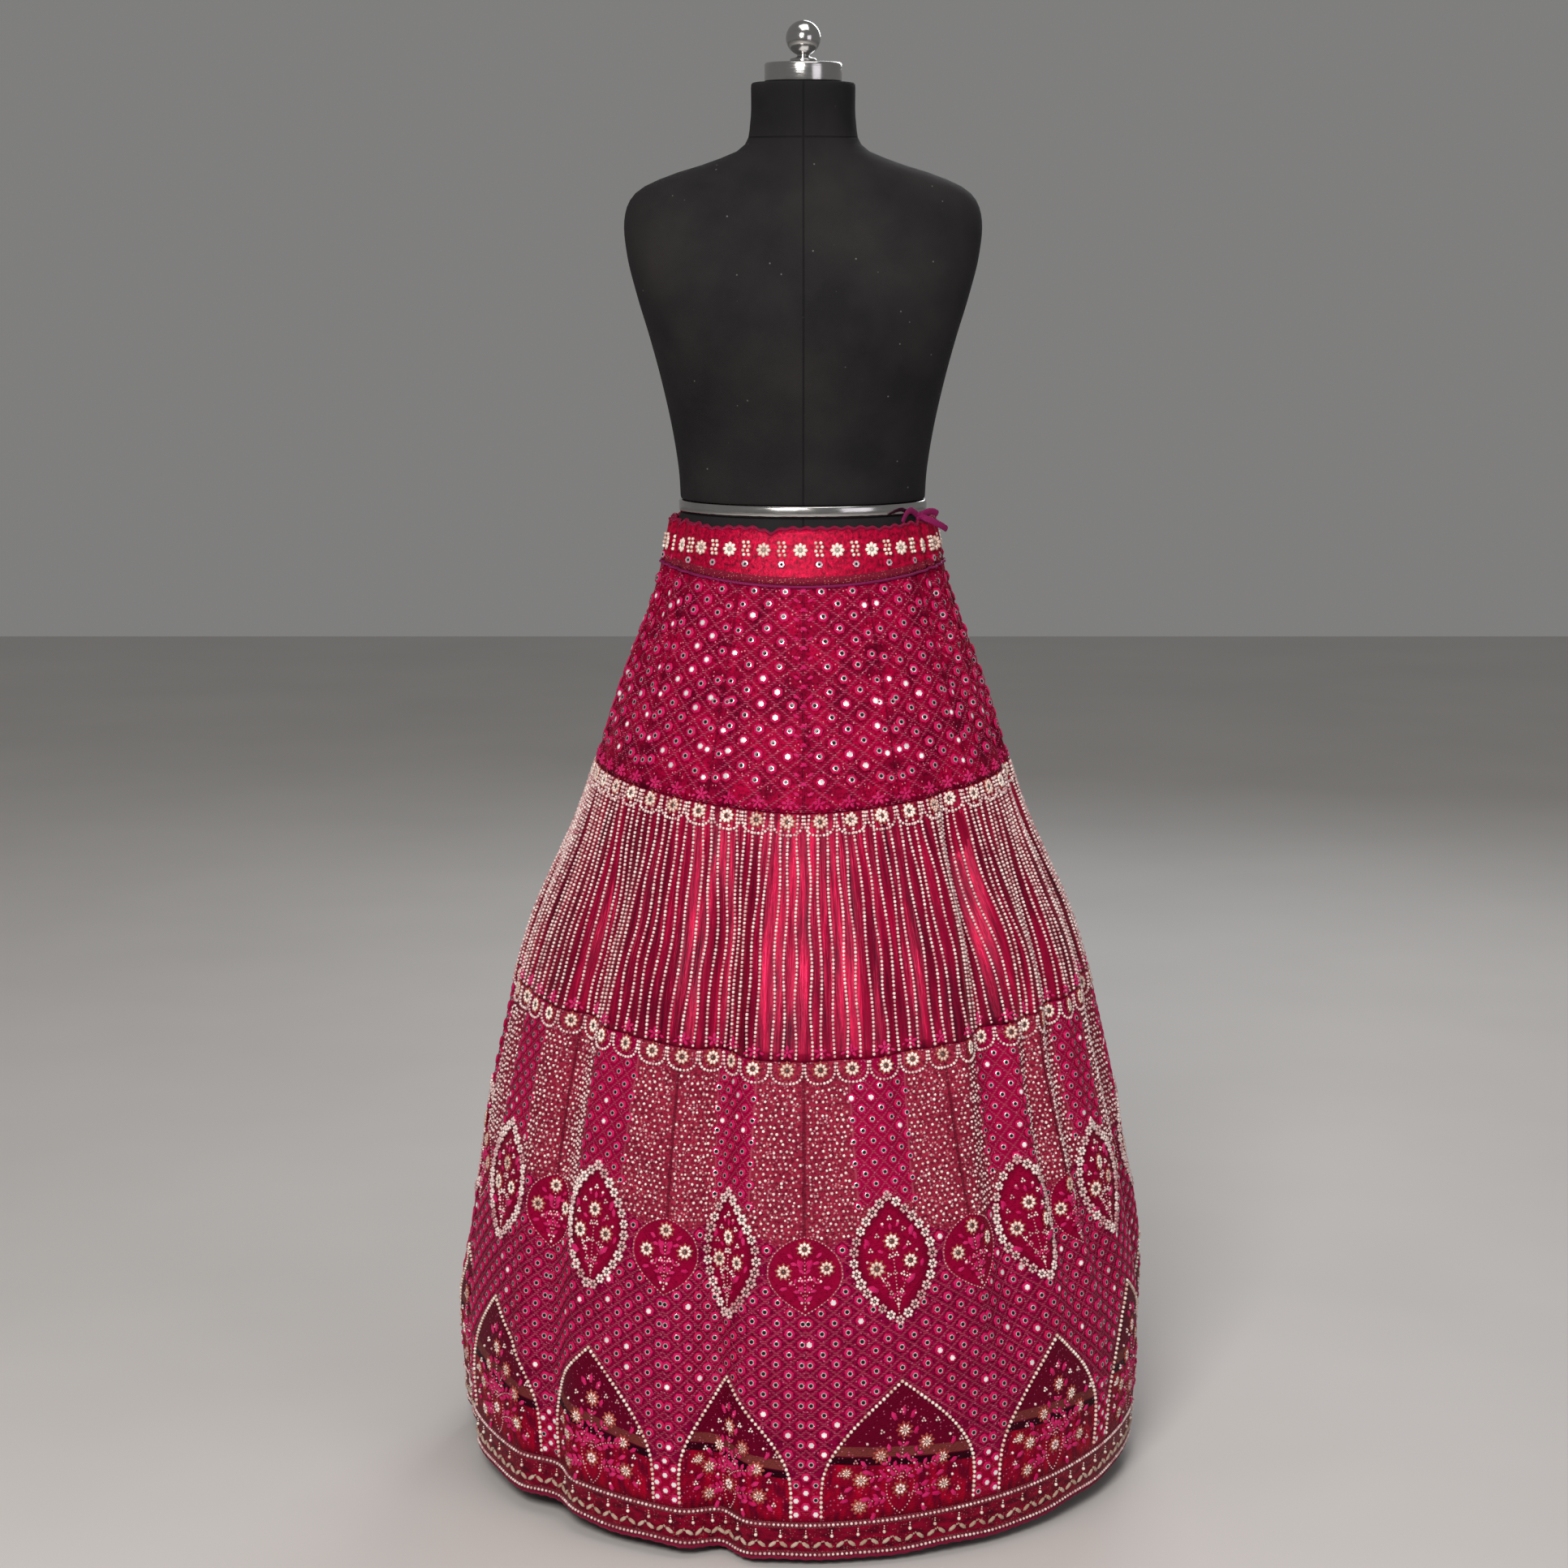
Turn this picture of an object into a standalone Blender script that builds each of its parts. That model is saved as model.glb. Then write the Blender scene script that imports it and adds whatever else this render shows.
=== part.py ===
"""A flared lehenga skirt on a limbless dress form.

Frame: metres, +Z up, origin on the floor under the form's axis, the front of the skirt towards -Y.
Angles on the cloth are cloth angles in degrees: 0 at the middle of the front, growing towards +X.
Folds swallow some of the cloth, so a cloth angle is turned into an azimuth by azimuth_of().
"""

import math

import bmesh
import bpy
from mathutils import Vector

# ---------------------------------------------------------------- driving sizes
SEAM_GAP = 0.0003  # between pieces that meet at a seam
LAY_GAP = 0.0005  # between a panel and what is laid on it
LEAST_GAP = 0.0004  # the same, where a laid strip bridges a ridge of the panel
LIFT_TESTS = 8  # places along and across a step of a strip where its gap is tested
WALL = 0.002  # cloth with its lining layers
KALIS = 14  # flared panels all round, each with one leaf and one arch

WAIST_TOP = 1.026
WAIST_SEAM_FRONT = 0.968
WAIST_SEAM_SIDE = 0.983
UPPER_SEAM = 0.745
LOWER_SEAM = 0.510
BORDER_SEAM = 0.050
HEM = 0.008

# Outer sections of the skirt: height, half width, half depth
SECTIONS = (
    (1.040, 0.1400, 0.1110),
    (1.000, 0.1480, 0.1190),
    (0.968, 0.1545, 0.1270),
    (0.930, 0.1660, 0.1390),
    (0.890, 0.1810, 0.1550),
    (0.845, 0.1975, 0.1740),
    (0.795, 0.2135, 0.1930),
    (0.745, 0.2300, 0.2120),
    (0.700, 0.2470, 0.2320),
    (0.650, 0.2700, 0.2570),
    (0.600, 0.2920, 0.2810),
    (0.550, 0.3080, 0.2990),
    (0.500, 0.3200, 0.3130),
    (0.440, 0.3340, 0.3290),
    (0.380, 0.3460, 0.3420),
    (0.320, 0.3550, 0.3530),
    (0.260, 0.3630, 0.3620),
    (0.200, 0.3700, 0.3710),
    (0.130, 0.3720, 0.3750),
    (0.060, 0.3680, 0.3730),
    (0.000, 0.3620, 0.3690),
)

# Folds: cloth angle of the fold, half width and cloth swallowed, in degrees; depth in metres, inwards
# (a crest has a negative depth); lowest and highest height; degrees that it leans for a metre of height
FOLDS = (
    # angle, half width, swallowed, depth, low, high, lean
    (-16.5, 9.0, 5.0, 0.024, -0.40, 0.76, -2.0),
    (5.0, 6.0, 0.5, 0.005, 0.28, 0.72, 4.0),
    (18.5, 6.0, 0.8, 0.007, 0.32, 0.74, 5.0),
    (34.7, 8.0, 1.0, 0.023, 0.14, 0.80, 18.7),
    (38.0, 7.0, 2.2, 0.004, 0.50, 0.80, 9.0),
    (46.0, 6.5, 3.6, 0.013, 0.14, 0.60, 4.0),
    (57.0, 7.5, 3.0, 0.013, 0.12, 0.72, 4.0),
    (79.0, 8.0, 1.8, 0.011, -0.10, 0.92, 0.0),
    (92.0, 9.0, 0.0, -0.011, 0.02, 0.34, 0.0),
    (108.0, 8.0, 2.8, 0.015, 0.10, 0.78, -3.0),
    (137.0, 9.0, 3.6, 0.023, -0.40, 0.80, 3.0),
    (171.0, 9.0, 3.0, 0.019, -0.10, 0.84, 0.0),
    (-147.0, 9.0, 3.6, 0.022, -0.40, 0.76, -4.0),
    (-120.0, 8.0, 2.6, 0.016, 0.10, 0.80, 2.0),
    (-100.0, 8.0, 0.0, -0.0140, -0.40, 0.26, 0.0),
    (-84.0, 7.0, 1.4, 0.012, -0.40, 0.70, 0.0),
    (-49.0, 8.5, 2.4, 0.017, -0.10, 0.74, 3.0),
)
FOLD_FADE = 0.16  # height over which a fold comes in at its top and goes out at its bottom

# Swing of the lower cloth to one side, in degrees of azimuth, where the panels flare most
SWING = 3.8
SWING_TOP = 0.40
SWING_FULL = 0.19
SWING_START = (-8.0, 38.0)  # cloth angles over which it comes in
SWING_END = (66.0, 120.0)  # cloth angles over which it goes out

# Height of a line of the cut at the front, and how much higher it lies at the sides, where the
# cloth slopes more
SIDE_RISES = (
    (1.040, 0.000),
    (0.985, 0.000),
    (0.860, 0.014),
    (0.745, 0.023),
    (0.510, 0.030),
    (0.310, 0.037),
    (0.190, 0.036),
    (0.100, 0.029),
    (0.050, 0.023),
    (0.000, 0.018),
)
SIDE_RISE_POWER = 1.5

# Gathers of the drawstring, at each side: middle of the gathered stretch, in degrees
GATHER_SIDES = (90.0, -90.0)
GATHER_PITCH = 9.5
GATHERS_A_SIDE = 9
GATHER_DEPTH = 0.0045
GATHER_LOW = 0.885  # height where the gathers have gone

# Columns of the walls, in degrees of cloth
LEAST_STEP = 2.2
MOST_STEP = 8.0
FOLD_SHARES = (0.0, 0.5, -0.5, 1.0, -1.0)  # places across a fold that get a column, in half widths
STEEP_FOLD = 0.010  # a fold at least this deep gets its own columns

# Rows of the walls, as shares of the way from a tier's top edge to its bottom edge
BAND_ROWS = (0.0, 1.0)
UPPER_ROWS = (0.0, 0.22, 0.58, 1.0)
MIDDLE_ROWS = (0.0, 0.25, 0.50, 0.75, 1.0)
LOWER_ROWS = (0.0, 0.15, 0.30, 0.45, 0.60, 0.745, 0.883, 1.0)

# Waistband top edge: angle, half width and drop of each dip in it
EDGE_DIPS = ((-14.0, 6.0, 0.005), (34.0, 7.0, 0.002), (-40.0, 8.0, 0.002), (180.0, 9.0, 0.004))
EDGE_RUFFLE = 0.0035  # how far the gathers push the top edge up
PIPING_SIZE = 0.0028
PIPING_GAP = 0.0008
PIPING_STEPS = 48

# Scallop trims: loops all round, their drop below the seam at a cusp and at the bottom of a loop
UPPER_SCALLOPS = 46
LOWER_SCALLOPS = 64
SCALLOP_PHASES = (0.0, 0.25, 0.75)
SCALLOP_CUSP = 0.012
SCALLOP_DROP = 0.021
SCALLOP_THICKNESS = 0.0022
SCALLOP_SNAP = 0.12  # a loop's point this near a panel's column, in loops, moves onto the column

# Leaf medallion: the middle line of its outline of bead flowers
LEAF_BOTTOM = 0.251
LEAF_TOP = 0.375
LEAF_HALF_WIDTH = 0.036
LEAF_SWELL = 0.85
LEAF_POINTS = 12
LEAF_BAND = 0.0085
LEAF_THICKNESS = 0.0025
LEAST_SKEW = 0.35  # a strip steeper than this crosses a column straight across itself

LOWER_FOLD_HEIGHT = 0.32  # height whose folds place the lower tier's columns

FACING_WALL = 0.0010
FACING_GAP = 0.0010
FACING_BOTTOM = HEM + 0.002

# Drawstring: a flat cord that comes out of the band's top edge and is tied at the wearer's left.
# Routes are in metres from the middle of the knot, which sits on the band's edge.
DORI_WIDTH = 0.0070
DORI_THICKNESS = 0.0022
KNOT_ANGLE = 61.5
KNOT_RADIUS = 0.0055
EXIT_ANGLE = 47.0
EXIT_RISE = 0.0040  # from the band's edge to the middle of the cord that comes out of it
END_ROUTES = {
    "drawstring_end_upper": (
        (0.0055, 0.0020, 0.0023),
        (0.0105, 0.0050, 0.0042),
        (0.0155, 0.0085, 0.0040),
        (0.0205, 0.0120, 0.0012),
    ),
    "drawstring_end_lower": (
        (0.0055, -0.0035, -0.0017),
        (0.0120, -0.0038, -0.0042),
        (0.0190, -0.0022, -0.0074),
        (0.0250, 0.0012, -0.0108),
        (0.0300, 0.0060, -0.0145),
    ),
}
TIED_ROUTE = (
    (-0.0034, -0.0041, 0.0030),
    (-0.0085, -0.0105, 0.0066),
    (-0.0135, -0.0178, 0.0040),
)

# Dress form sections: height, half width, front depth, back depth, squareness of the outline
FORM_UPPER = (
    (1.4820, 0.0545, 0.0545, 0.0545, 2.0),
    (1.4400, 0.0555, 0.0550, 0.0560, 2.0),
    (1.4150, 0.0640, 0.0580, 0.0620, 2.0),
    (1.4000, 0.0980, 0.0620, 0.0680, 2.1),
    (1.3860, 0.1420, 0.0670, 0.0730, 2.2),
    (1.3700, 0.1740, 0.0740, 0.0780, 2.4),
    (1.3450, 0.1870, 0.0850, 0.0830, 2.6),
    (1.3050, 0.1850, 0.1000, 0.0870, 2.6),
    (1.2600, 0.1740, 0.1150, 0.0890, 2.5),
    (1.2200, 0.1620, 0.1200, 0.0890, 2.4),
    (1.1750, 0.1500, 0.1120, 0.0880, 2.3),
    (1.1250, 0.1390, 0.1010, 0.0880, 2.2),
    (1.0800, 0.1320, 0.0970, 0.0890, 2.1),
    (1.0485, 0.1300, 0.0970, 0.0900, 2.0),
)
RING_TOP = 1.0480
RING_BOTTOM = 1.0355
RING_PROUD = 0.0015
HIP_TOP = 1.0350
FORM_LOWER_TOP = (HIP_TOP, 0.1300, 0.0985, 0.0985, 2.0)
FORM_LOWER = (
    (0.9100, 0.1560, 0.1330, 0.1330, 2.0),
    (0.8750, 0.1640, 0.1430, 0.1430, 2.0),
    (0.8400, 0.1640, 0.1440, 0.1440, 2.0),
    (0.8120, 0.1560, 0.1370, 0.1370, 2.0),
    (0.8000, 0.1440, 0.1260, 0.1260, 2.0),
)
BAND_FIT_HEIGHTS = (1.012, 0.990)
FIT_GAP = 0.0006  # between the waistband's inside and the form
FORM_COLUMNS = 28

CAP_RADIUS = 0.0405
CAP_HEIGHT = 0.0200
CAP_EDGE = 0.0025
FINIAL_RADIUS = 0.0182
FINIAL_CENTRE = 0.0245
FINIAL_STEPS = 8
FINIAL_STEM = ((0.0090, 0.0065), (0.0140, 0.0030), (0.0140, 0.0), (0.0, 0.0))
POLE_RADIUS = 0.0160
BASE_RADIUS = 0.1600
BASE_THICKNESS = 0.0090
BASE_EDGE = 0.0030
BOSS_RADIUS = 0.0300
BOSS_TOP = 0.0400
TURN_STEPS = 24


# ---------------------------------------------------------------- scene and materials
def clear_scene():
    """Remove the objects of the open scene."""
    for item in list(bpy.data.objects):
        bpy.data.objects.remove(item, do_unlink=True)


def make_material(name, colour, roughness, metallic=0.0):
    """A Principled material with one colour."""
    material = bpy.data.materials.new(name)
    material.use_nodes = True
    shader = material.node_tree.nodes["Principled BSDF"]
    shader.inputs["Base Color"].default_value = (*colour, 1.0)
    shader.inputs["Roughness"].default_value = roughness
    shader.inputs["Metallic"].default_value = metallic
    return material


# colour, roughness, metallic
FINISHES = {
    "band_satin": ((0.48, 0.005, 0.040), 0.38, 0.0),
    "mauve_piping": ((0.30, 0.020, 0.110), 0.60, 0.0),
    "mauve_cord": ((0.22, 0.020, 0.140), 0.65, 0.0),
    "mirror_net": ((0.32, 0.005, 0.038), 0.70, 0.0),
    "bead_satin": ((0.37, 0.015, 0.055), 0.40, 0.0),
    "lattice_net": ((0.26, 0.006, 0.045), 0.70, 0.0),
    "border_satin": ((0.18, 0.003, 0.020), 0.45, 0.0),
    "facing_satin": ((0.36, 0.004, 0.028), 0.42, 0.0),
    "cream_beads": ((0.72, 0.60, 0.48), 0.35, 0.2),
    "black_jersey": ((0.012, 0.011, 0.011), 0.85, 0.0),
    "chrome_steel": ((0.80, 0.80, 0.80), 0.12, 1.0),
    "black_steel": ((0.02, 0.02, 0.02), 0.45, 0.6),
}


class Workshop:
    """Holds the part's collections and materials, and registers its objects."""

    def __init__(self):
        self.parts = self.new_collection("lehenga_on_form")
        self.cutters = self.new_collection("cutters")
        self.materials = {name: make_material(name, *row) for name, row in FINISHES.items()}

    @staticmethod
    def new_collection(name):
        collection = bpy.data.collections.new(name)
        bpy.context.scene.collection.children.link(collection)
        return collection

    def add_mesh(self, name, finish, bm, smooth=True):
        """Turn a bmesh into a named object of the part."""
        bmesh.ops.recalc_face_normals(bm, faces=bm.faces)
        mesh = bpy.data.meshes.new(name)
        bm.to_mesh(mesh)
        bm.free()
        mesh.materials.append(self.materials[finish])
        if smooth:
            mesh.shade_smooth()
        item = bpy.data.objects.new(name, mesh)
        self.parts.objects.link(item)
        return item


# ---------------------------------------------------------------- the shape of the cloth
def ease(value):
    """Smooth step from 0 to 1."""
    t = min(max(value, 0.0), 1.0)
    return t * t * (3.0 - 2.0 * t)


def table_value(table, column, height):
    """Smooth value of one column of a table whose rows go down in height."""
    if height >= table[0][0]:
        return table[0][column]
    if height <= table[-1][0]:
        return table[-1][column]
    last = len(table) - 1
    i = next(k for k in range(last) if table[k + 1][0] <= height)
    rows = [table[max(i - 1, 0)], table[i], table[i + 1], table[min(i + 2, last)]]
    step = rows[2][0] - rows[1][0]
    t = (height - rows[1][0]) / step
    slope_in = (rows[2][column] - rows[0][column]) / (rows[2][0] - rows[0][0]) * step
    slope_out = (rows[3][column] - rows[1][column]) / (rows[3][0] - rows[1][0]) * step
    start, end = rows[1][column], rows[2][column]
    return (
        start * (2 * t**3 - 3 * t**2 + 1)
        + slope_in * (t**3 - 2 * t**2 + t)
        + end * (3 * t**2 - 2 * t**3)
        + slope_out * (t**3 - t**2)
    )


def turn_between(angle, middle):
    """Signed turn from middle to angle, in degrees, within half a turn."""
    return (angle - middle + 180.0) % 360.0 - 180.0


def fold_strength(low, high, height):
    """How far a fold is in at a height, from 0 to 1."""
    return ease((height - low) / FOLD_FADE) * ease((high - height) / FOLD_FADE)


def swing(own, height):
    """How far the cloth has swung to one side at a cloth angle and height, in degrees."""
    rise = ease((own - SWING_START[0]) / (SWING_START[1] - SWING_START[0]))
    fall = ease((SWING_END[1] - own) / (SWING_END[1] - SWING_END[0]))
    return SWING * rise * fall * ease((SWING_TOP - height) / (SWING_TOP - SWING_FULL))


def azimuth_of(angle, height):
    """Azimuth in degrees of a cloth angle: folds swallow cloth, and the rest spreads evenly."""
    turns = round(angle / 360.0)
    own = angle - 360.0 * turns
    azimuth = own + swing(own, height)
    for middle, half_width, swallowed, _, low, high, lean in FOLDS:
        taken = swallowed * fold_strength(low, high, height)
        at = middle + lean * (height - 0.4)
        passed = ease(0.5 + (own - at) / (2.0 * half_width))
        azimuth += taken * own / 360.0
        azimuth -= taken * (passed if middle > 0 else passed - 1.0)
    return azimuth + 360.0 * turns


def fold_depth(angle, height):
    """How far the folds pull the cloth in at a cloth angle and height."""
    total = 0.0
    for middle, half_width, _, depth, low, high, lean in FOLDS:
        t = turn_between(angle, middle + lean * (height - 0.4)) / half_width
        if abs(t) < 1.0:
            total += depth * fold_strength(low, high, height) * math.cos(math.pi * t / 2) ** 2
    return total


def gather_depth(angle, height):
    """How far the drawstring's gathers pull the cloth in."""
    reach = GATHER_PITCH * GATHERS_A_SIDE / 2
    fade = ease((height - GATHER_LOW) / (1.0 - GATHER_LOW))
    for side in GATHER_SIDES:
        turn = turn_between(angle, side)
        if abs(turn) < reach:
            wave = 0.5 - 0.5 * math.cos(2 * math.pi * (turn + reach) / GATHER_PITCH)
            return GATHER_DEPTH * fade * wave * math.cos(math.pi * turn / (2 * reach)) ** 0.5
    return 0.0


def side_rise(angle, height):
    """How much higher than at the front a line of the cut lies, at a cloth angle."""
    return table_value(SIDE_RISES, 1, height) * abs(math.sin(math.radians(angle))) ** SIDE_RISE_POWER


def on_section(angle, height, out):
    """Point at a cloth angle on the plain section of a height, moved out."""
    turn = math.radians(azimuth_of(angle, height))
    risen = height + side_rise(angle, height)
    half_width = table_value(SECTIONS, 1, risen)
    half_depth = table_value(SECTIONS, 2, risen)
    away = Vector((math.sin(turn) / half_width, -math.cos(turn) / half_depth, 0.0)).normalized()
    point = Vector((half_width * math.sin(turn), -half_depth * math.cos(turn), risen))
    return point + away * out


def cloth_surface(angle, height):
    """Point of the skirt's outer surface at a cloth angle and height."""
    return on_section(angle, height, -fold_depth(angle, height) - gather_depth(angle, height))


def outward(angle, height):
    """Level direction out of the cloth at a cloth angle and height."""
    step = 0.05
    along = cloth_surface(angle + step, height) - cloth_surface(angle - step, height)
    return Vector((along.y, -along.x, 0.0)).normalized()


# ---------------------------------------------------------------- edges of the pieces
def level(height):
    """An edge at one height all round."""
    return lambda angle: height


def waist_seam(angle):
    """Seam under the waistband, a little higher at the sides."""
    rise = WAIST_SEAM_SIDE - WAIST_SEAM_FRONT
    return WAIST_SEAM_FRONT + rise * math.sin(math.radians(angle)) ** 2


def waist_edge(angle):
    """Top edge of the waistband, with its dips and the ruffle of the gathers."""
    drop = 0.0
    for middle, half_width, depth in EDGE_DIPS:
        t = abs(turn_between(angle, middle)) / half_width
        drop += depth * max(0.0, 1.0 - t)
    return WAIST_TOP - drop + EDGE_RUFFLE * gather_depth(angle, 1.0) / GATHER_DEPTH


# ---------------------------------------------------------------- walls of cloth
def spaced(ends, wanted):
    """Angles from the ends and the wanted list, none too close together and no gap too wide."""
    kept = list(ends)
    for angle in wanted:
        if ends[0] < angle < ends[1] and min(abs(angle - k) for k in kept) >= LEAST_STEP:
            kept.append(angle)
    kept.sort()
    filled = []
    for near, far in zip(kept, kept[1:]):
        parts = math.ceil((far - near) / MOST_STEP)
        filled += [near + (far - near) * i / parts for i in range(parts)]
    return filled + [kept[-1]]


def fold_angles(height):
    """Angles that the folds need at a height: their bottoms first, then their flanks and edges."""
    angles = []
    for share in FOLD_SHARES:
        for middle, half_width, _, depth, low, high, lean in FOLDS:
            if abs(depth) >= STEEP_FOLD and fold_strength(low, high, height) > 0.1:
                at = middle + lean * (height - 0.4) + share * half_width
                angles += [at, at + 360.0]
    return angles


def gather_angles():
    """Angles that the gathers need: four to a gather."""
    reach = GATHER_PITCH * GATHERS_A_SIDE / 2
    steps = range(4 * GATHERS_A_SIDE + 1)
    own = [side - reach + i * GATHER_PITCH / 4 for side in GATHER_SIDES for i in steps]
    return own + [angle + 360.0 for angle in own]


class Panel:
    """One cut piece of cloth as a wall: a grid of outer points by column and row, and inner points.

    top and bottom are functions of the cloth angle; rows are shares of the way between them.
    """

    def __init__(self, columns, top, bottom, rows, closed=False):
        self.closed = closed
        self.columns = columns[:-1] if closed else columns
        self.top, self.bottom, self.rows = top, bottom, rows
        self.outer = [self.row_points(k, 0.0) for k in range(len(rows))]

    def height(self, angle, row):
        """Height of a row at a cloth angle."""
        top = self.top(angle) - SEAM_GAP / 2
        bottom = self.bottom(angle) + SEAM_GAP / 2
        return top + (bottom - top) * self.rows[row]

    def row_points(self, row, inset):
        """Points of one row, moved in from the outer surface."""
        points = []
        for angle in self.columns:
            height = self.height(angle, row)
            points.append(cloth_surface(angle, height) - outward(angle, height) * inset)
        if not self.closed:
            for end, sign in ((0, 1.0), (-1, -1.0)):
                out = outward(self.columns[end], self.height(self.columns[end], row))
                points[end] += Vector((-out.y, out.x, 0.0)) * sign * SEAM_GAP / 2
        return points

    def build(self, shop, name, finish, inset=0.0, wall=WALL):
        """The panel's solid: its outer side inset from the grid, and a wall inside that."""
        bm = bmesh.new()
        span = range(len(self.rows))
        outer = [[bm.verts.new(p) for p in self.row_points(k, inset)] for k in span]
        inner = [[bm.verts.new(p) for p in self.row_points(k, inset + wall)] for k in span]
        count = len(self.columns)
        for i in range(count if self.closed else count - 1):
            j = (i + 1) % count
            for k in span[:-1]:
                for grid in (outer, inner):
                    bm.faces.new((grid[k][i], grid[k + 1][i], grid[k + 1][j]))
                    bm.faces.new((grid[k][i], grid[k + 1][j], grid[k][j]))
            for k in (0, -1):
                bm.faces.new((outer[k][i], outer[k][j], inner[k][j], inner[k][i]))
        if not self.closed:
            for i in (0, -1):
                for k in span[:-1]:
                    bm.faces.new((outer[k][i], outer[k + 1][i], inner[k + 1][i], inner[k][i]))
        return shop.add_mesh(name, finish, bm)


class Layout:
    """Finds points on built panels: what is laid on a panel is made from its points, moved out."""

    def __init__(self, panels):
        self.panels = panels

    def place(self, angle, height):
        """The panel, its columns i and j and row k, and the shares across and down at a place."""
        for panel in self.panels:
            columns = panel.columns + ([panel.columns[0] + 360.0] if panel.closed else [])
            own = columns[0] + (angle - columns[0]) % 360.0
            if own > columns[-1]:
                continue
            i = max(n for n in range(len(columns) - 1) if columns[n] <= own)
            across = (own - columns[i]) / (columns[i + 1] - columns[i])
            k = 0
            while k < len(panel.rows) - 2 and panel.height(own, k + 1) > height:
                k += 1
            upper, lower = panel.height(own, k), panel.height(own, k + 1)
            return panel, i, (i + 1) % len(panel.columns), k, across, (upper - height) / (upper - lower)
        raise ValueError(f"no panel at {angle:.1f} degrees")

    def point(self, angle, height, out):
        """Point on the panels' outer faces at a cloth angle and height, moved out."""
        panel, i, j, k, across, down = self.place(angle, height)
        upper, lower = panel.outer[k], panel.outer[k + 1]
        if down > across:
            point = upper[i] + (lower[i] - upper[i]) * down + (lower[j] - lower[i]) * across
        else:
            point = upper[i] + (upper[j] - upper[i]) * across + (lower[j] - upper[j]) * down
        return point + outward(angle, height) * out

    def columns_between(self, start, end):
        """The panels' column angles that lie between two cloth angles."""
        found = set()
        for panel in self.panels:
            for column in panel.columns:
                turn = start + (column - start) % 360.0
                if start + 0.3 < turn < end - 0.3:
                    found.add(round(turn, 5))
        return sorted(found)


def metres_a_degree(height):
    """Length of cloth in one degree of cloth angle at a height."""
    half_width = table_value(SECTIONS, 1, height)
    half_depth = table_value(SECTIONS, 2, height)
    return math.radians(1.0) * (half_width + half_depth) / 2


def sweep(shop, name, finish, rings, closed, smooth=True):
    """Solid through rings of points, one after another, with flat ends or closed into a loop."""
    bm = bmesh.new()
    rings = [[bm.verts.new(p) for p in ring] for ring in rings]
    sides = len(rings[0])
    for near, far in zip(rings, rings[1:] + (rings[:1] if closed else [])):
        for i in range(sides):
            j = (i + 1) % sides
            bm.faces.new((near[i], far[i], far[j]))
            bm.faces.new((near[i], far[j], near[j]))
    if not closed:
        bm.faces.new(rings[0])
        bm.faces.new(rings[-1])
    return shop.add_mesh(name, finish, bm, smooth)


def on_patch(near, far, along, across):
    """Value on a quad between two pairs, which is cut from the near pair's first to the far second."""
    if along >= across:
        return near[0] + (far[0] - near[0]) * along + (far[1] - far[0]) * across
    return near[0] + (near[1] - near[0]) * across + (far[1] - near[1]) * along


def strip_lifts(pairs, layout, gap):
    """How far each step of a strip is lifted, so that it bridges ridges of the panels under it."""
    places = [[Vector(place) for place in pair] for pair in pairs]
    under = [[layout.point(*place, gap) for place in pair] for pair in pairs]
    lifts = [0.0] * len(pairs)
    for i in range(len(pairs)):
        j = (i + 1) % len(pairs)
        if abs(places[i][0].x - places[j][0].x) > 180.0:
            continue
        for test in range((LIFT_TESTS + 1) ** 2):
            along, across = (share / LIFT_TESTS for share in divmod(test, LIFT_TESTS + 1))
            angle, height = on_patch(places[i], places[j], along, across)
            clear = on_patch(under[i], under[j], along, across) - layout.point(angle, height, 0.0)
            short = LEAST_GAP - clear.dot(outward(angle, height))
            lifts[i], lifts[j] = max(lifts[i], short), max(lifts[j], short)
    return lifts


def laid_strip(shop, name, finish, pairs, layout, thickness):
    """A closed strip on the panels. pairs holds the (angle, height) of its two edges at each step."""
    rings = []
    for (upper, lower), lift in zip(pairs, strip_lifts(pairs, layout, LAY_GAP)):
        near, far = LAY_GAP + lift, LAY_GAP + lift + thickness
        under = [layout.point(*place, near) for place in (upper, lower)]
        over = [layout.point(*place, far) for place in (lower, upper)]
        rings.append(under + over)
    return sweep(shop, name, finish, rings, closed=True)


def crossing_steps(path, layout):
    """A closed path with steps added where it crosses the panels' columns.

    Each step is (angle, height, whether it lies on a column).
    """
    steps = []
    for (a0, z0), (a1, z1) in zip(path, path[1:] + path[:1]):
        steps.append((a0, z0, False))
        found = layout.columns_between(min(a0, a1), max(a0, a1))
        for column in found if a1 >= a0 else reversed(found):
            steps.append((column, z0 + (z1 - z0) * (column - a0) / (a1 - a0), True))
    return steps


def strip_edges(steps, width):
    """Both edges of a strip of a width along closed steps: straight across, or along a column."""
    pairs = []
    for i, (angle, height, on_column) in enumerate(steps):
        before, after = steps[i - 1], steps[(i + 1) % len(steps)]
        scale = metres_a_degree(height)
        along = Vector(((after[0] - before[0]) * scale, after[1] - before[1])).normalized()
        side = Vector((-along.y, along.x)) * width / 2
        if on_column and abs(along.x) > LEAST_SKEW:
            side = Vector((0.0, width / 2 / along.x))
        left = (angle + side.x / scale, height + side.y)
        right = (angle - side.x / scale, height - side.y)
        pairs.append((left, right))
    return pairs


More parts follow.
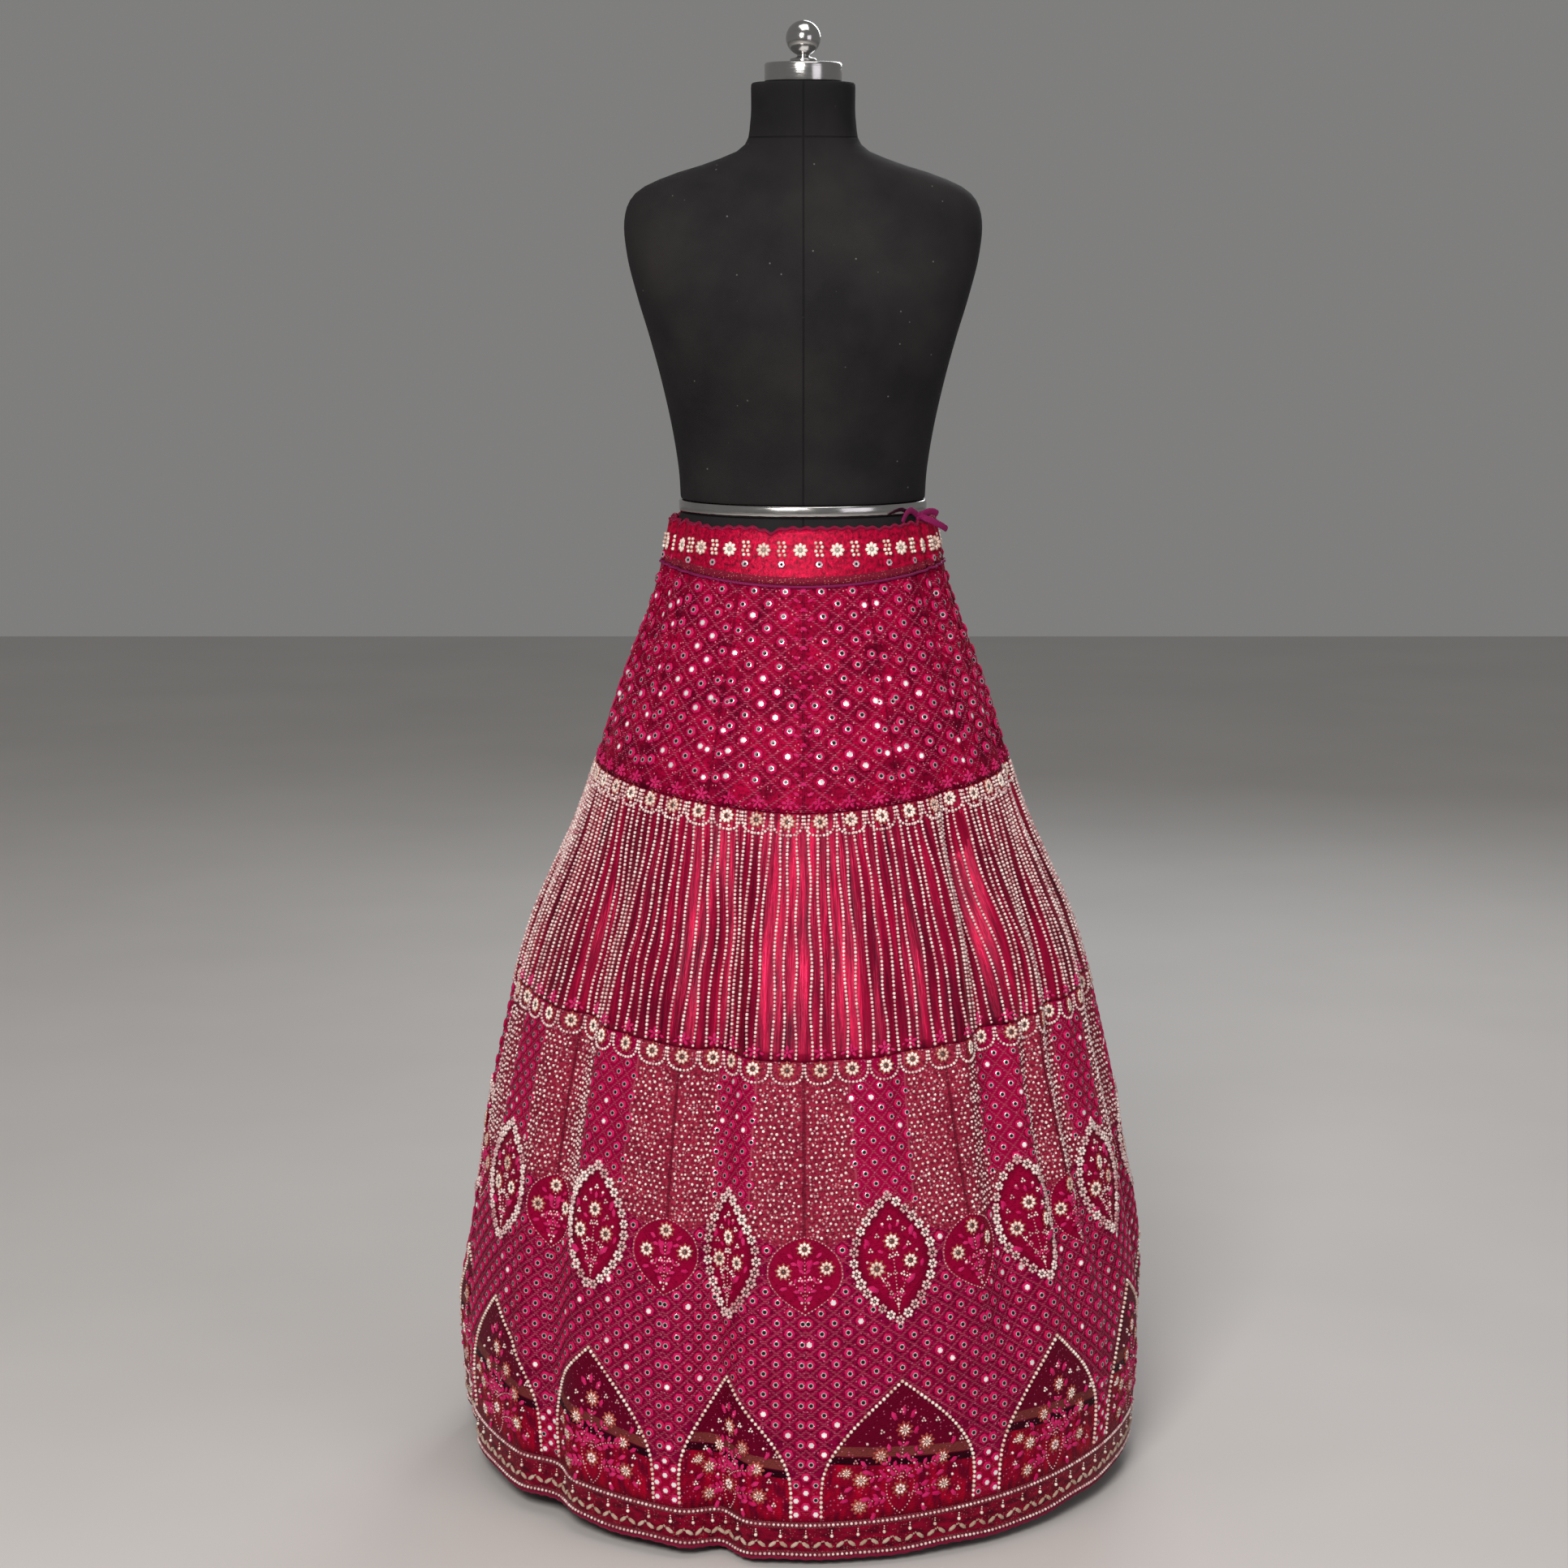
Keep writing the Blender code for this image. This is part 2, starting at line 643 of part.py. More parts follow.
# ---------------------------------------------------------------- skirt pieces
def build_waistband(shop):
    """The gathered band and the piping along its lower seam."""
    columns = spaced((-180.0, 180.0), gather_angles())
    band = Panel(columns, waist_edge, waist_seam, BAND_ROWS, closed=True)
    band.build(shop, "waistband", "band_satin")
    rings = []
    for i in range(PIPING_STEPS):
        angle = 360.0 * i / PIPING_STEPS
        low = waist_seam(angle) + SEAM_GAP
        high = low + PIPING_SIZE
        near, far = PIPING_GAP, PIPING_GAP + PIPING_SIZE
        corners = ((low, near), (low, far), (high, far), (high, near))
        rings.append([on_section(angle, height, out) for height, out in corners])
    sweep(shop, "waist_piping", "mauve_piping", rings, closed=True)


def build_tier(shop, name, finish, top, bottom, rows, wanted):
    """Front and back of a tier, joined at the side seams."""
    panels = []
    for half, start in (("front", -90.0), ("back", 90.0)):
        columns = spaced((start, start + 180.0), wanted)
        panel = Panel(columns, top, bottom, rows)
        panel.build(shop, f"{name}_{half}", finish)
        panels.append(panel)
    return panels


def build_scallops(shop, name, panels, seam, count):
    """A trim of hanging loops that lies just below a tier seam."""
    layout = Layout(panels)
    pitch = 360.0 / count
    angles = [pitch * (i + phase) for i in range(count) for phase in SCALLOP_PHASES]
    steps = {angle: angle for angle in angles}  # place of each point, and the angle its drop is for
    for column in layout.columns_between(0.0, 360.0):
        nearest = min(angles, key=lambda angle: abs(angle - column))
        if abs(nearest - column) < SCALLOP_SNAP * pitch:
            steps.pop(nearest, None)
            steps[column] = nearest
        else:
            steps[column] = column
    pairs = []
    for angle in sorted(steps):
        phase = steps[angle] / pitch % 1.0
        hang = min(1.0, min(phase, 1.0 - phase) / SCALLOP_PHASES[1])
        drop = SCALLOP_CUSP + (SCALLOP_DROP - SCALLOP_CUSP) * hang
        pairs.append(((angle, seam - SEAM_GAP), (angle, seam - drop)))
    laid_strip(shop, name, "cream_beads", pairs, layout, SCALLOP_THICKNESS)


def leaf_path(middle):
    """Closed middle line of a leaf's outline of bead flowers: (angle, height)."""
    height = LEAF_TOP - LEAF_BOTTOM
    scale = metres_a_degree((LEAF_TOP + LEAF_BOTTOM) / 2)
    path = []
    for i in range(LEAF_POINTS):
        share = 2.0 * i / LEAF_POINTS
        side, down = (1.0, share) if share < 1.0 else (-1.0, 2.0 - share)
        width = LEAF_HALF_WIDTH * math.sin(math.pi * down) ** LEAF_SWELL
        path.append((middle + side * width / scale, LEAF_TOP - height * down))
    return path


def build_leaves(shop, panels):
    """One leaf outline for each kali, half a kali away from the middle of the front."""
    layout = Layout(panels)
    pitch = 360.0 / KALIS
    for i in range(KALIS):
        path = crossing_steps(leaf_path(pitch * (i + 0.5)), layout)
        pairs = strip_edges(path, LEAF_BAND)
        name = f"leaf_outline_{i + 1:02d}"
        laid_strip(shop, name, "cream_beads", pairs, layout, LEAF_THICKNESS)


def build_facing(shop, panels):
    """Satin facing behind the lowest part of the skirt, on the lower tier's columns."""
    facing_top = LOWER_SEAM + (BORDER_SEAM - LOWER_SEAM) * LOWER_ROWS[-2]
    columns = panels[0].columns + panels[1].columns[1:]
    rows = (0.0, (facing_top - BORDER_SEAM) / (facing_top - FACING_BOTTOM), 1.0)
    facing = Panel(columns, level(facing_top), level(FACING_BOTTOM), rows, closed=True)
    facing.build(shop, "hem_facing", "facing_satin", WALL + FACING_GAP, FACING_WALL)


def ribbon_rings(route, width, thickness):
    """Flat rectangular sections along a route, standing on edge."""
    points = [Vector(p) for p in route]
    rings = []
    for i, point in enumerate(points):
        before, after = points[max(i - 1, 0)], points[min(i + 1, len(points) - 1)]
        along = (after - before).normalized()
        up = Vector((0.0, 0.0, 1.0)) - along * along.z
        up = up.normalized() * width / 2
        off = along.cross(up).normalized() * thickness / 2
        rings.append((point + up + off, point + up - off, point - up - off, point - up + off))
    return rings


def band_edge(angle):
    """Middle of the band's wall at its top edge."""
    height = waist_edge(angle)
    return cloth_surface(angle, height) - outward(angle, height) * WALL / 2


def build_drawstring(shop):
    """The flat cord: what comes out of the band, its knot and its two free ends."""
    centre = band_edge(KNOT_ANGLE) + Vector((0.0, 0.0, KNOT_RADIUS + SEAM_GAP))
    knot = bmesh.new()
    bmesh.ops.create_uvsphere(knot, u_segments=10, v_segments=7, radius=KNOT_RADIUS)
    bmesh.ops.translate(knot, verts=knot.verts, vec=centre)
    shop.add_mesh("drawstring_knot", "mauve_cord", knot)
    routes = {name: [centre + Vector(step) for step in route] for name, route in END_ROUTES.items()}
    exit_point = band_edge(EXIT_ANGLE) + Vector((0.0, 0.0, EXIT_RISE))
    routes["drawstring_tied"] = [centre + Vector(step) for step in TIED_ROUTE] + [exit_point]
    for name, route in routes.items():
        rings = ribbon_rings(route, DORI_WIDTH, DORI_THICKNESS)
        sweep(shop, name, "mauve_cord", rings, closed=False)


# ---------------------------------------------------------------- dress form
def form_section(row):
    """Closed outline of the form at one height."""
    height, half_width, front, back, squareness = row
    power = 2.0 / squareness
    points = []
    for i in range(FORM_COLUMNS):
        turn = 2 * math.pi * i / FORM_COLUMNS
        sine, cosine = math.sin(turn), math.cos(turn)
        depth = front if cosine > 0 else back
        x = half_width * math.copysign(abs(sine) ** power, sine)
        y = -depth * math.copysign(abs(cosine) ** power, cosine)
        points.append((x, y, height))
    return points


def build_form_solid(shop, name, finish, sections):
    """Closed solid of the form through sections from the top down."""
    rings = [form_section(row) for row in sections]
    return sweep(shop, name, finish, rings, closed=False, smooth=False)


def fitted_sections():
    """Sections of the hip part inside the waistband, just clear of its gathers."""
    sections = []
    for height in BAND_FIT_HEIGHTS:
        half_width = table_value(SECTIONS, 1, height) - WALL - FIT_GAP - GATHER_DEPTH
        half_depth = table_value(SECTIONS, 2, height) - WALL - FIT_GAP
        sections.append((height, half_width, half_depth, half_depth, 2.0))
    return sections


def turned(shop, name, finish, profile, foot=0.0):
    """A turned piece: a profile of (radius, height) from its top to its bottom, spun round the axis."""
    mesh = bpy.data.meshes.new(name)
    points = [(radius, 0.0, foot + height) for radius, height in profile]
    mesh.from_pydata(points, [(i, i + 1) for i in range(len(points) - 1)], [])
    mesh.materials.append(shop.materials[finish])
    item = bpy.data.objects.new(name, mesh)
    shop.parts.objects.link(item)
    spin = item.modifiers.new("spin", "SCREW")
    spin.axis = "Z"
    spin.angle = 2 * math.pi
    spin.screw_offset = 0.0
    spin.steps = TURN_STEPS
    spin.render_steps = TURN_STEPS
    spin.use_merge_vertices = True
    spin.merge_threshold = 0.00005
    spin.use_smooth_shade = True
    return item


def build_waist_ring(shop):
    """Chrome ring between the form's upper and lower part."""
    _, half_width, front, back, squareness = FORM_UPPER[-1]
    proud = RING_PROUD
    ring = []
    for height in (RING_TOP, RING_BOTTOM):
        ring.append((height, half_width + proud, front + proud, back + proud, squareness))
    build_form_solid(shop, "form_waist_ring", "chrome_steel", ring)


def build_neck_fittings(shop):
    """Cap on the neck, and the finial on the cap."""
    neck_top = FORM_UPPER[0][0] + SEAM_GAP
    edge = CAP_EDGE
    cap = (
        (0.0, CAP_HEIGHT),
        (CAP_RADIUS - edge, CAP_HEIGHT),
        (CAP_RADIUS, CAP_HEIGHT - edge),
        (CAP_RADIUS, edge),
        (CAP_RADIUS - edge, 0.0),
        (0.0, 0.0),
    )
    turned(shop, "form_neck_cap", "chrome_steel", cap, neck_top)
    ball = []
    for i in range(FINIAL_STEPS):
        turn = math.pi * i / (FINIAL_STEPS + 1)
        ball.append((FINIAL_RADIUS * math.sin(turn), FINIAL_CENTRE + FINIAL_RADIUS * math.cos(turn)))
    finial = tuple(ball) + FINIAL_STEM
    turned(shop, "form_finial", "chrome_steel", finial, neck_top + CAP_HEIGHT + SEAM_GAP)


def build_stand(shop):
    """Pole and base plate."""
    pole_top = FORM_LOWER[-1][0] - SEAM_GAP
    pole_foot = BOSS_TOP + SEAM_GAP
    pole = ((0.0, pole_top), (POLE_RADIUS, pole_top), (POLE_RADIUS, pole_foot), (0.0, pole_foot))
    turned(shop, "form_pole", "chrome_steel", pole)
    edge = BASE_EDGE
    base = (
        (0.0, BOSS_TOP),
        (BOSS_RADIUS - edge, BOSS_TOP),
        (BOSS_RADIUS, BOSS_TOP - edge),
        (BOSS_RADIUS, BASE_THICKNESS),
        (BASE_RADIUS - edge, BASE_THICKNESS),
        (BASE_RADIUS, BASE_THICKNESS - edge),
        (BASE_RADIUS, 0.0),
        (0.0, 0.0),
    )
    turned(shop, "form_base", "black_steel", base)


def build_form(shop):
    """The limbless dress form with its fittings and stand."""
    build_form_solid(shop, "form_upper", "black_jersey", FORM_UPPER)
    build_waist_ring(shop)
    lower = (FORM_LOWER_TOP, *fitted_sections(), *FORM_LOWER)
    build_form_solid(shop, "form_lower", "black_jersey", lower)
    build_neck_fittings(shop)
    build_stand(shop)


def build_skirt(shop):
    """The skirt's cut pieces and the trims laid on them."""
    build_waistband(shop)
    waist, upper_seam = waist_seam, level(UPPER_SEAM)
    lower_seam, border_seam, hem = level(LOWER_SEAM), level(BORDER_SEAM), level(HEM)
    gathers = gather_angles()
    middle_folds = fold_angles((UPPER_SEAM + LOWER_SEAM) / 2)
    lower_folds = fold_angles(LOWER_FOLD_HEIGHT)
    build_tier(shop, "upper_tier", "mirror_net", waist, upper_seam, UPPER_ROWS, gathers)
    middle = build_tier(
        shop, "middle_tier", "bead_satin", upper_seam, lower_seam, MIDDLE_ROWS, middle_folds
    )
    lower = build_tier(
        shop, "lower_tier", "lattice_net", lower_seam, border_seam, LOWER_ROWS, lower_folds
    )
    build_tier(shop, "hem_border", "border_satin", border_seam, hem, BAND_ROWS, lower_folds)
    build_scallops(shop, "upper_scallop_trim", middle, UPPER_SEAM, UPPER_SCALLOPS)
    build_scallops(shop, "lower_scallop_trim", lower, LOWER_SEAM, LOWER_SCALLOPS)
    build_leaves(shop, lower)
    build_facing(shop, lower)
    build_drawstring(shop)


def main():
    """Build the whole part."""
    clear_scene()
    shop = Workshop()
    build_form(shop)
    build_skirt(shop)


main()
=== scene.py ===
"""Looks of a lehenga skirt on a limbless dress form.

Metres, +Z up, origin on the floor under the form's axis, the front of the skirt towards -Y.
Places on the cloth are a cloth angle in degrees (0 at the middle of the front, growing towards +X) and
a height. Fourteen kalis, the flared panels of the skirt, go round: a leaf and an arch lie on the middle
line of each kali, and a heart on each seam between two kalis.
"""

import logging
import math
from collections.abc import Callable, Sequence
from dataclasses import dataclass, field
from enum import Enum

import bpy
import numpy as np
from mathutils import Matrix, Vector


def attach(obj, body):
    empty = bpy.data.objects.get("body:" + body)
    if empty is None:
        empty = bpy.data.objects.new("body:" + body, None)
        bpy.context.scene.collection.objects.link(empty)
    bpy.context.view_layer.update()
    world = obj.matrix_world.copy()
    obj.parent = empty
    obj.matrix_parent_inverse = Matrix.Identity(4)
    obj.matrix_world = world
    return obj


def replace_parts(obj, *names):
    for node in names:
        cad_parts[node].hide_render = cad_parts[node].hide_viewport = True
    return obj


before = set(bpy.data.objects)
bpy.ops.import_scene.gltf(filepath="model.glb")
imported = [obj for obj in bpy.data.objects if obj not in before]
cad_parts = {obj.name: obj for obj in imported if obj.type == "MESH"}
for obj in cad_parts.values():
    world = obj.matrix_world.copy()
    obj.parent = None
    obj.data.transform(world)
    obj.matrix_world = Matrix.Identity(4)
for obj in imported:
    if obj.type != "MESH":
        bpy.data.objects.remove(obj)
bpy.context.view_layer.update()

log = logging.getLogger("lehenga")
Array = np.ndarray
Material = bpy.types.Material
Item = bpy.types.Object
Node = bpy.types.Node
Socket = bpy.types.NodeSocket
Point = tuple[float, float, float]
Colour = tuple[float, float, float]
Pair = tuple[float, float]
Rows = Sequence[Sequence[float]]
Edge = Callable[[Array], Array]

KALIS = 14
KALI_TURN = 360.0 / KALIS
SEAM_GAP = 0.0003
WAIST_TOP = 1.026
WAIST_SEAM_FRONT = 0.968
WAIST_SEAM_SIDE = 0.983
UPPER_SEAM = 0.745
LOWER_SEAM = 0.51
BORDER_SEAM = 0.05
HEM = 0.008
# Dips of the waistband's top edge: angle, half width, depth
WAIST_DIPS = ((-14.0, 6.0, 0.005), (34.0, 7.0, 0.002), (-40.0, 8.0, 0.002), (180.0, 9.0, 0.004))
WAIST_RUFFLE = 0.0035
# Waves of the hem: count, start and size
HEM_WAVES = ((7.0, 0.6, 0.0012), (16.0, 2.1, 0.0011), (29.0, 4.0, 0.0007))
STITCH_PITCH = 0.0021
NET_HOLES = 620.0

# Width and height of the diamonds of each lattice of mirrors
UPPER_LATTICE = (0.03, 0.025)
PANEL_LATTICE = (0.018, 0.021)
LOWER_LATTICE = (0.0226, 0.0204)


class Slot(Enum):
    """Material slots of the record."""

    BAND = "band_satin"
    PIPING = "mauve_piping"
    CORD = "mauve_cord"
    UPPER = "mirror_net"
    MIDDLE = "bead_satin"
    LOWER = "lattice_net"
    BORDER = "border_satin"
    FACING = "facing_satin"
    BEADS = "cream_beads"
    JERSEY = "black_jersey"
    CHROME = "chrome_steel"
    STEEL = "black_steel"


# ---------------------------------------------------------------- the cloth's surface
def metres(*rows: Sequence[float]) -> Rows:
    """Rows of lengths in metres, from millimetres."""
    return tuple(tuple(value / 1000 for value in row) for row in rows)


def ease(value: Array) -> Array:
    """Smooth step from 0 to 1."""
    t = np.clip(value, 0.0, 1.0)
    return t * t * (3.0 - 2.0 * t)


def table_value(table: Rows, column: int, height: Array) -> Array:
    """Smooth values of one column of a table whose rows go down in height.

    Args:
        table: Rows whose first entry is a height.
        column: Which entry to read.
        height: Heights to read it at.

    Returns:
        One value for each height.
    """
    rows = np.array(table, float)
    z, value = rows[:, 0], rows[:, column]
    h = np.clip(np.asarray(height, float), z[-1], z[0])
    i = np.clip(len(z) - 1 - np.searchsorted(z[::-1], h, side="left"), 0, len(z) - 2)
    i = np.where(h <= z[i + 1], np.minimum(i + 1, len(z) - 2), i)
    before, after = np.maximum(i - 1, 0), np.minimum(i + 2, len(z) - 1)
    step = z[i + 1] - z[i]
    t = (h - z[i]) / step
    slope_in = (value[i + 1] - value[before]) / (z[i + 1] - z[before]) * step
    slope_out = (value[after] - value[i]) / (z[after] - z[i]) * step
    return (
        value[i] * (2 * t**3 - 3 * t**2 + 1)
        + slope_in * (t**3 - 2 * t**2 + t)
        + value[i + 1] * (3 * t**2 - 2 * t**3)
        + slope_out * (t**3 - t**2)
    )


def turn_between(angle: Array, middle: Array | float) -> Array:
    """Signed turn from middle to angle, in degrees, within half a turn."""
    return (np.asarray(angle) - middle + 180.0) % 360.0 - 180.0


@dataclass(frozen=True)
class Fold:
    """A fold that runs down the cloth: inwards, or a crest where its depth is negative.

    Angles, half width and swallowed cloth are in degrees, and lean in degrees for a metre of height.
    """

    angle: float
    half_width: float
    swallowed: float
    depth: float
    low: float
    high: float
    lean: float = 0.0
    fade: float = 0.16

    def strength(self, height: Array) -> Array:
        """How far the fold is in at each height, from 0 to 1."""
        return ease((height - self.low) / self.fade) * ease((self.high - height) / self.fade)

    def middle(self, height: Array) -> Array:
        """Cloth angle of the fold's middle line."""
        return self.angle + self.lean * (height - 0.4)

    def pull(self, angle: Array, height: Array) -> Array:
        """How far the fold pulls the cloth in.

        Args:
            angle: Cloth angles in degrees.
            height: Heights in metres.

        Returns:
            Metres inwards at each place.
        """
        t = turn_between(angle, self.middle(height)) / self.half_width
        shape = np.where(np.abs(t) < 1.0, np.cos(np.pi * np.clip(t, -1, 1) / 2) ** 2, 0.0)
        return self.depth * self.strength(height) * shape


# height, half width, half depth, in millimetres
SECTIONS = metres(
    (1040, 140, 111), (1000, 148, 119), (968, 154.5, 127), (930, 166, 139), (890, 181, 155),
    (845, 197.5, 174), (795, 213.5, 193), (745, 230, 212), (700, 247, 232), (650, 270, 257),
    (600, 292, 281), (550, 308, 299), (500, 320, 313), (440, 334, 329), (380, 346, 342), (320, 355, 353),
    (260, 363, 362), (200, 370, 371), (130, 372, 375), (60, 368, 373), (0, 362, 369),
)

# height of a line of the cut at the front, and how much higher it lies at the sides, in millimetres
SIDE_RISES = metres(
    (1040, 0), (985, 0), (860, 14), (745, 23), (510, 30), (310, 37), (190, 36), (100, 29), (50, 23),
    (0, 18),
)
SIDE_RISE_POWER = 1.5

# angle, half width, swallowed, depth, low, high, lean
FOLDS = tuple(
    Fold(*row)
    for row in (
        (-16.5, 9, 5, 0.024, -0.4, 0.76, -2), (5, 6, 0.5, 0.005, 0.28, 0.72, 4),
        (18.5, 6, 0.8, 0.007, 0.32, 0.74, 5), (34.7, 8, 1, 0.023, 0.14, 0.8, 18.7),
        (38, 7, 2.2, 0.004, 0.5, 0.8, 9), (46, 6.5, 3.6, 0.013, 0.14, 0.6, 4),
        (57, 7.5, 3, 0.013, 0.12, 0.72, 4), (79, 8, 1.8, 0.011, -0.1, 0.92, 0),
        (92, 9, 0, -0.011, 0.02, 0.34, 0), (108, 8, 2.8, 0.015, 0.1, 0.78, -3),
        (137, 9, 3.6, 0.023, -0.4, 0.8, 3), (171, 9, 3, 0.019, -0.1, 0.84, 0),
        (-147, 9, 3.6, 0.022, -0.4, 0.76, -4), (-120, 8, 2.6, 0.016, 0.1, 0.8, 2),
        (-100, 8, 0, -0.014, -0.4, 0.26, 0), (-84, 7, 1.4, 0.012, -0.4, 0.7, 0),
        (-49, 8.5, 2.4, 0.017, -0.1, 0.74, 3),
    )
)

# Small creases: angle, half width, depth, low, high, lean
CREASES = tuple(
    Fold(angle, half_width, 0.0, depth, low, high, lean, 0.07)
    for angle, half_width, depth, low, high, lean in (
        (-27, 2.6, 0.003, 0.52, 0.76, 6), (-9, 2.2, -0.0018, 0.5, 0.74, 8),
        (-3, 2.4, 0.0022, 0.36, 0.71, 5), (1.5, 2, 0.0016, 0.74, 0.95, 2), (11, 2.4, 0.0024, 0.5, 0.73, 12),
        (13.5, 2.2, -0.0015, 0.4, 0.6, 6), (24, 2.5, 0.0026, 0.42, 0.74, 14),
        (29, 2.2, -0.002, 0.3, 0.56, 8), (33, 2.3, 0.0022, 0.76, 0.93, 10),
        (47, 2.6, 0.003, 0.34, 0.72, 10), (52, 2.2, -0.0016, 0.18, 0.46, 6),
        (66, 2.8, 0.0028, 0.3, 0.74, 4), (72, 2.4, 0.002, 0.06, 0.3, 0), (88, 2.6, 0.0026, 0.4, 0.74, 0),
        (99, 2.4, 0.002, 0.22, 0.52, -4), (122, 2.6, 0.0028, 0.34, 0.73, 4),
        (129, 2.3, -0.0016, 0.5, 0.72, 0), (150, 2.6, 0.0024, 0.18, 0.56, -3),
        (160, 2.4, 0.0022, 0.46, 0.76, 3), (181, 2.6, 0.002, 0.3, 0.7, 0),
        (-164, 2.5, 0.0026, 0.4, 0.74, 2), (-135, 2.6, 0.0024, 0.12, 0.48, 3),
        (-128, 2.3, -0.0014, 0.52, 0.74, 0), (-108, 2.6, 0.0026, 0.32, 0.72, -3),
        (-92, 2.4, 0.0022, 0.2, 0.5, 0), (-70, 2.6, 0.0028, 0.34, 0.74, 5),
        (-60, 2.3, 0.002, 0.1, 0.42, -3), (-38, 2.6, 0.0026, 0.44, 0.74, 4), (52, 2.6, 0.0026, 0.8, 1, 6),
        (60.5, 2.8, 0.0038, 0.74, 1.01, 5), (68, 2.6, 0.0032, 0.8, 1.01, 3),
        (76, 2.9, 0.0042, 0.72, 1.01, 2), (84.5, 2.7, 0.0034, 0.78, 1.01, 0),
        (93, 2.9, 0.004, 0.72, 1.01, -1), (102, 2.7, 0.0032, 0.8, 1.01, -3),
        (111.5, 2.8, 0.0036, 0.75, 1.01, -5), (120, 2.6, 0.0026, 0.82, 1, -6),
        (-53, 2.6, 0.0024, 0.82, 1, -6), (-62, 2.8, 0.0036, 0.75, 1.01, -5),
        (-70.5, 2.7, 0.003, 0.8, 1.01, -3), (-79, 2.9, 0.004, 0.72, 1.01, -1),
        (-87.5, 2.7, 0.0034, 0.78, 1.01, 0), (-96, 2.9, 0.004, 0.73, 1.01, 1),
        (-105, 2.7, 0.0032, 0.8, 1.01, 3), (-114, 2.8, 0.0034, 0.76, 1.01, 5),
    )
)


@dataclass(frozen=True)
class Cloth:
    """The skirt's outer surface, by cloth angle in degrees and height."""

    gather_sides: Pair = (90.0, -90.0)
    gather_pitch: float = 9.5
    gathers_a_side: int = 9
    gather_depth: float = 0.0045
    gather_low: float = 0.885
    swing_turn: float = 3.8
    swing_top: float = 0.4
    swing_full: float = 0.19
    swing_start: Pair = (-8.0, 38.0)
    swing_end: Pair = (66.0, 120.0)
    probe_turn: float = 0.2
    probe_rise: float = 0.001

    def swing(self, own: Array, height: Array) -> Array:
        """How far the lower cloth has swung to one side, in degrees of azimuth.

        Args:
            own: Cloth angles within half a turn, in degrees.
            height: Heights in metres.

        Returns:
            Degrees at each place.
        """
        rise = ease((own - self.swing_start[0]) / (self.swing_start[1] - self.swing_start[0]))
        fall = ease((self.swing_end[1] - own) / (self.swing_end[1] - self.swing_end[0]))
        fade = ease((self.swing_top - height) / (self.swing_top - self.swing_full))
        return self.swing_turn * rise * fall * fade

    def azimuth(self, angle: Array, height: Array) -> Array:
        """Azimuth in degrees: folds swallow cloth, and the rest spreads evenly.

        Args:
            angle: Cloth angles in degrees.
            height: Heights in metres.

        Returns:
            Degrees at each place.
        """
        turns = np.round(angle / 360.0)
        own = angle - 360.0 * turns
        azimuth = own + self.swing(own, height)
        for fold in FOLDS:
            taken = fold.swallowed * fold.strength(height)
            passed = ease(0.5 + (own - fold.middle(height)) / (2.0 * fold.half_width))
            azimuth = azimuth + taken * own / 360.0 - taken * (passed - (fold.angle <= 0))
        return azimuth + 360.0 * turns

    def gathers(self, angle: Array, height: Array) -> Array:
        """How far the drawstring's gathers pull the cloth in.

        Args:
            angle: Cloth angles in degrees.
            height: Heights in metres.

        Returns:
            Metres inwards at each place.
        """
        reach = self.gather_pitch * self.gathers_a_side / 2
        fade = ease((height - self.gather_low) / (1.0 - self.gather_low))
        total = np.zeros_like(angle)
        for side in self.gather_sides:
            turn = np.clip(turn_between(angle, side), -reach, reach)
            wave = 0.5 - 0.5 * np.cos(2 * np.pi * (turn + reach) / self.gather_pitch)
            total += wave * np.maximum(np.cos(np.pi * turn / (2 * reach)), 0.0) ** 0.5
        return self.gather_depth * fade * total

    def point(self, angle: Array, height: Array, out: Array | float = 0.0) -> Array:
        """Points of the surface, moved out level.

        Args:
            angle: Cloth angles in degrees.
            height: Heights in metres.
            out: How far out of the cloth, in metres.

        Returns:
            An array of points, one row each.
        """
        angle, height = np.broadcast_arrays(np.asarray(angle, float), np.asarray(height, float))
        turn = np.radians(self.azimuth(angle, height))
        rise = table_value(SIDE_RISES, 1, height) * np.abs(np.sin(np.radians(angle))) ** SIDE_RISE_POWER
        risen = height + rise
        a, b = table_value(SECTIONS, 1, risen), table_value(SECTIONS, 2, risen)
        away = np.stack([np.sin(turn) / a, -np.cos(turn) / b], axis=-1)
        away /= np.linalg.norm(away, axis=-1, keepdims=True)
        pulled = self.gathers(angle, height)
        for fold in FOLDS + CREASES:
            pulled = pulled + fold.pull(angle, height)
        flat = np.stack([a * np.sin(turn), -b * np.cos(turn)], axis=-1)
        flat = flat + away * (out - pulled)[..., None]
        return np.concatenate([flat, risen[..., None]], axis=-1)

    def directions(self, angle: Array, height: Array) -> tuple[Array, Array, Array]:
        """Directions across, up and out of the cloth at each place.

        Args:
            angle: Cloth angles in degrees.
            height: Heights in metres.

        Returns:
            Three arrays of unit directions.
        """
        right = self.point(angle + self.probe_turn, height) - self.point(angle - self.probe_turn, height)
        up = self.point(angle, height + self.probe_rise) - self.point(angle, height - self.probe_rise)
        out = np.cross(right, up)
        out /= np.linalg.norm(out, axis=-1, keepdims=True)
        up /= np.linalg.norm(up, axis=-1, keepdims=True)
        return np.cross(up, out), up, out

    def metres_a_degree(self, height: Array) -> Array:
        """Length of cloth in one degree of cloth angle."""
        return np.radians(1.0) * (table_value(SECTIONS, 1, height) + table_value(SECTIONS, 2, height)) / 2

    def angle_in_kali(self, kali: Array | int, x: Array, height: Array) -> Array:
        """Cloth angle of a place x metres from the middle line of a kali."""
        return KALI_TURN * (kali + 0.5) + x / self.metres_a_degree(height)

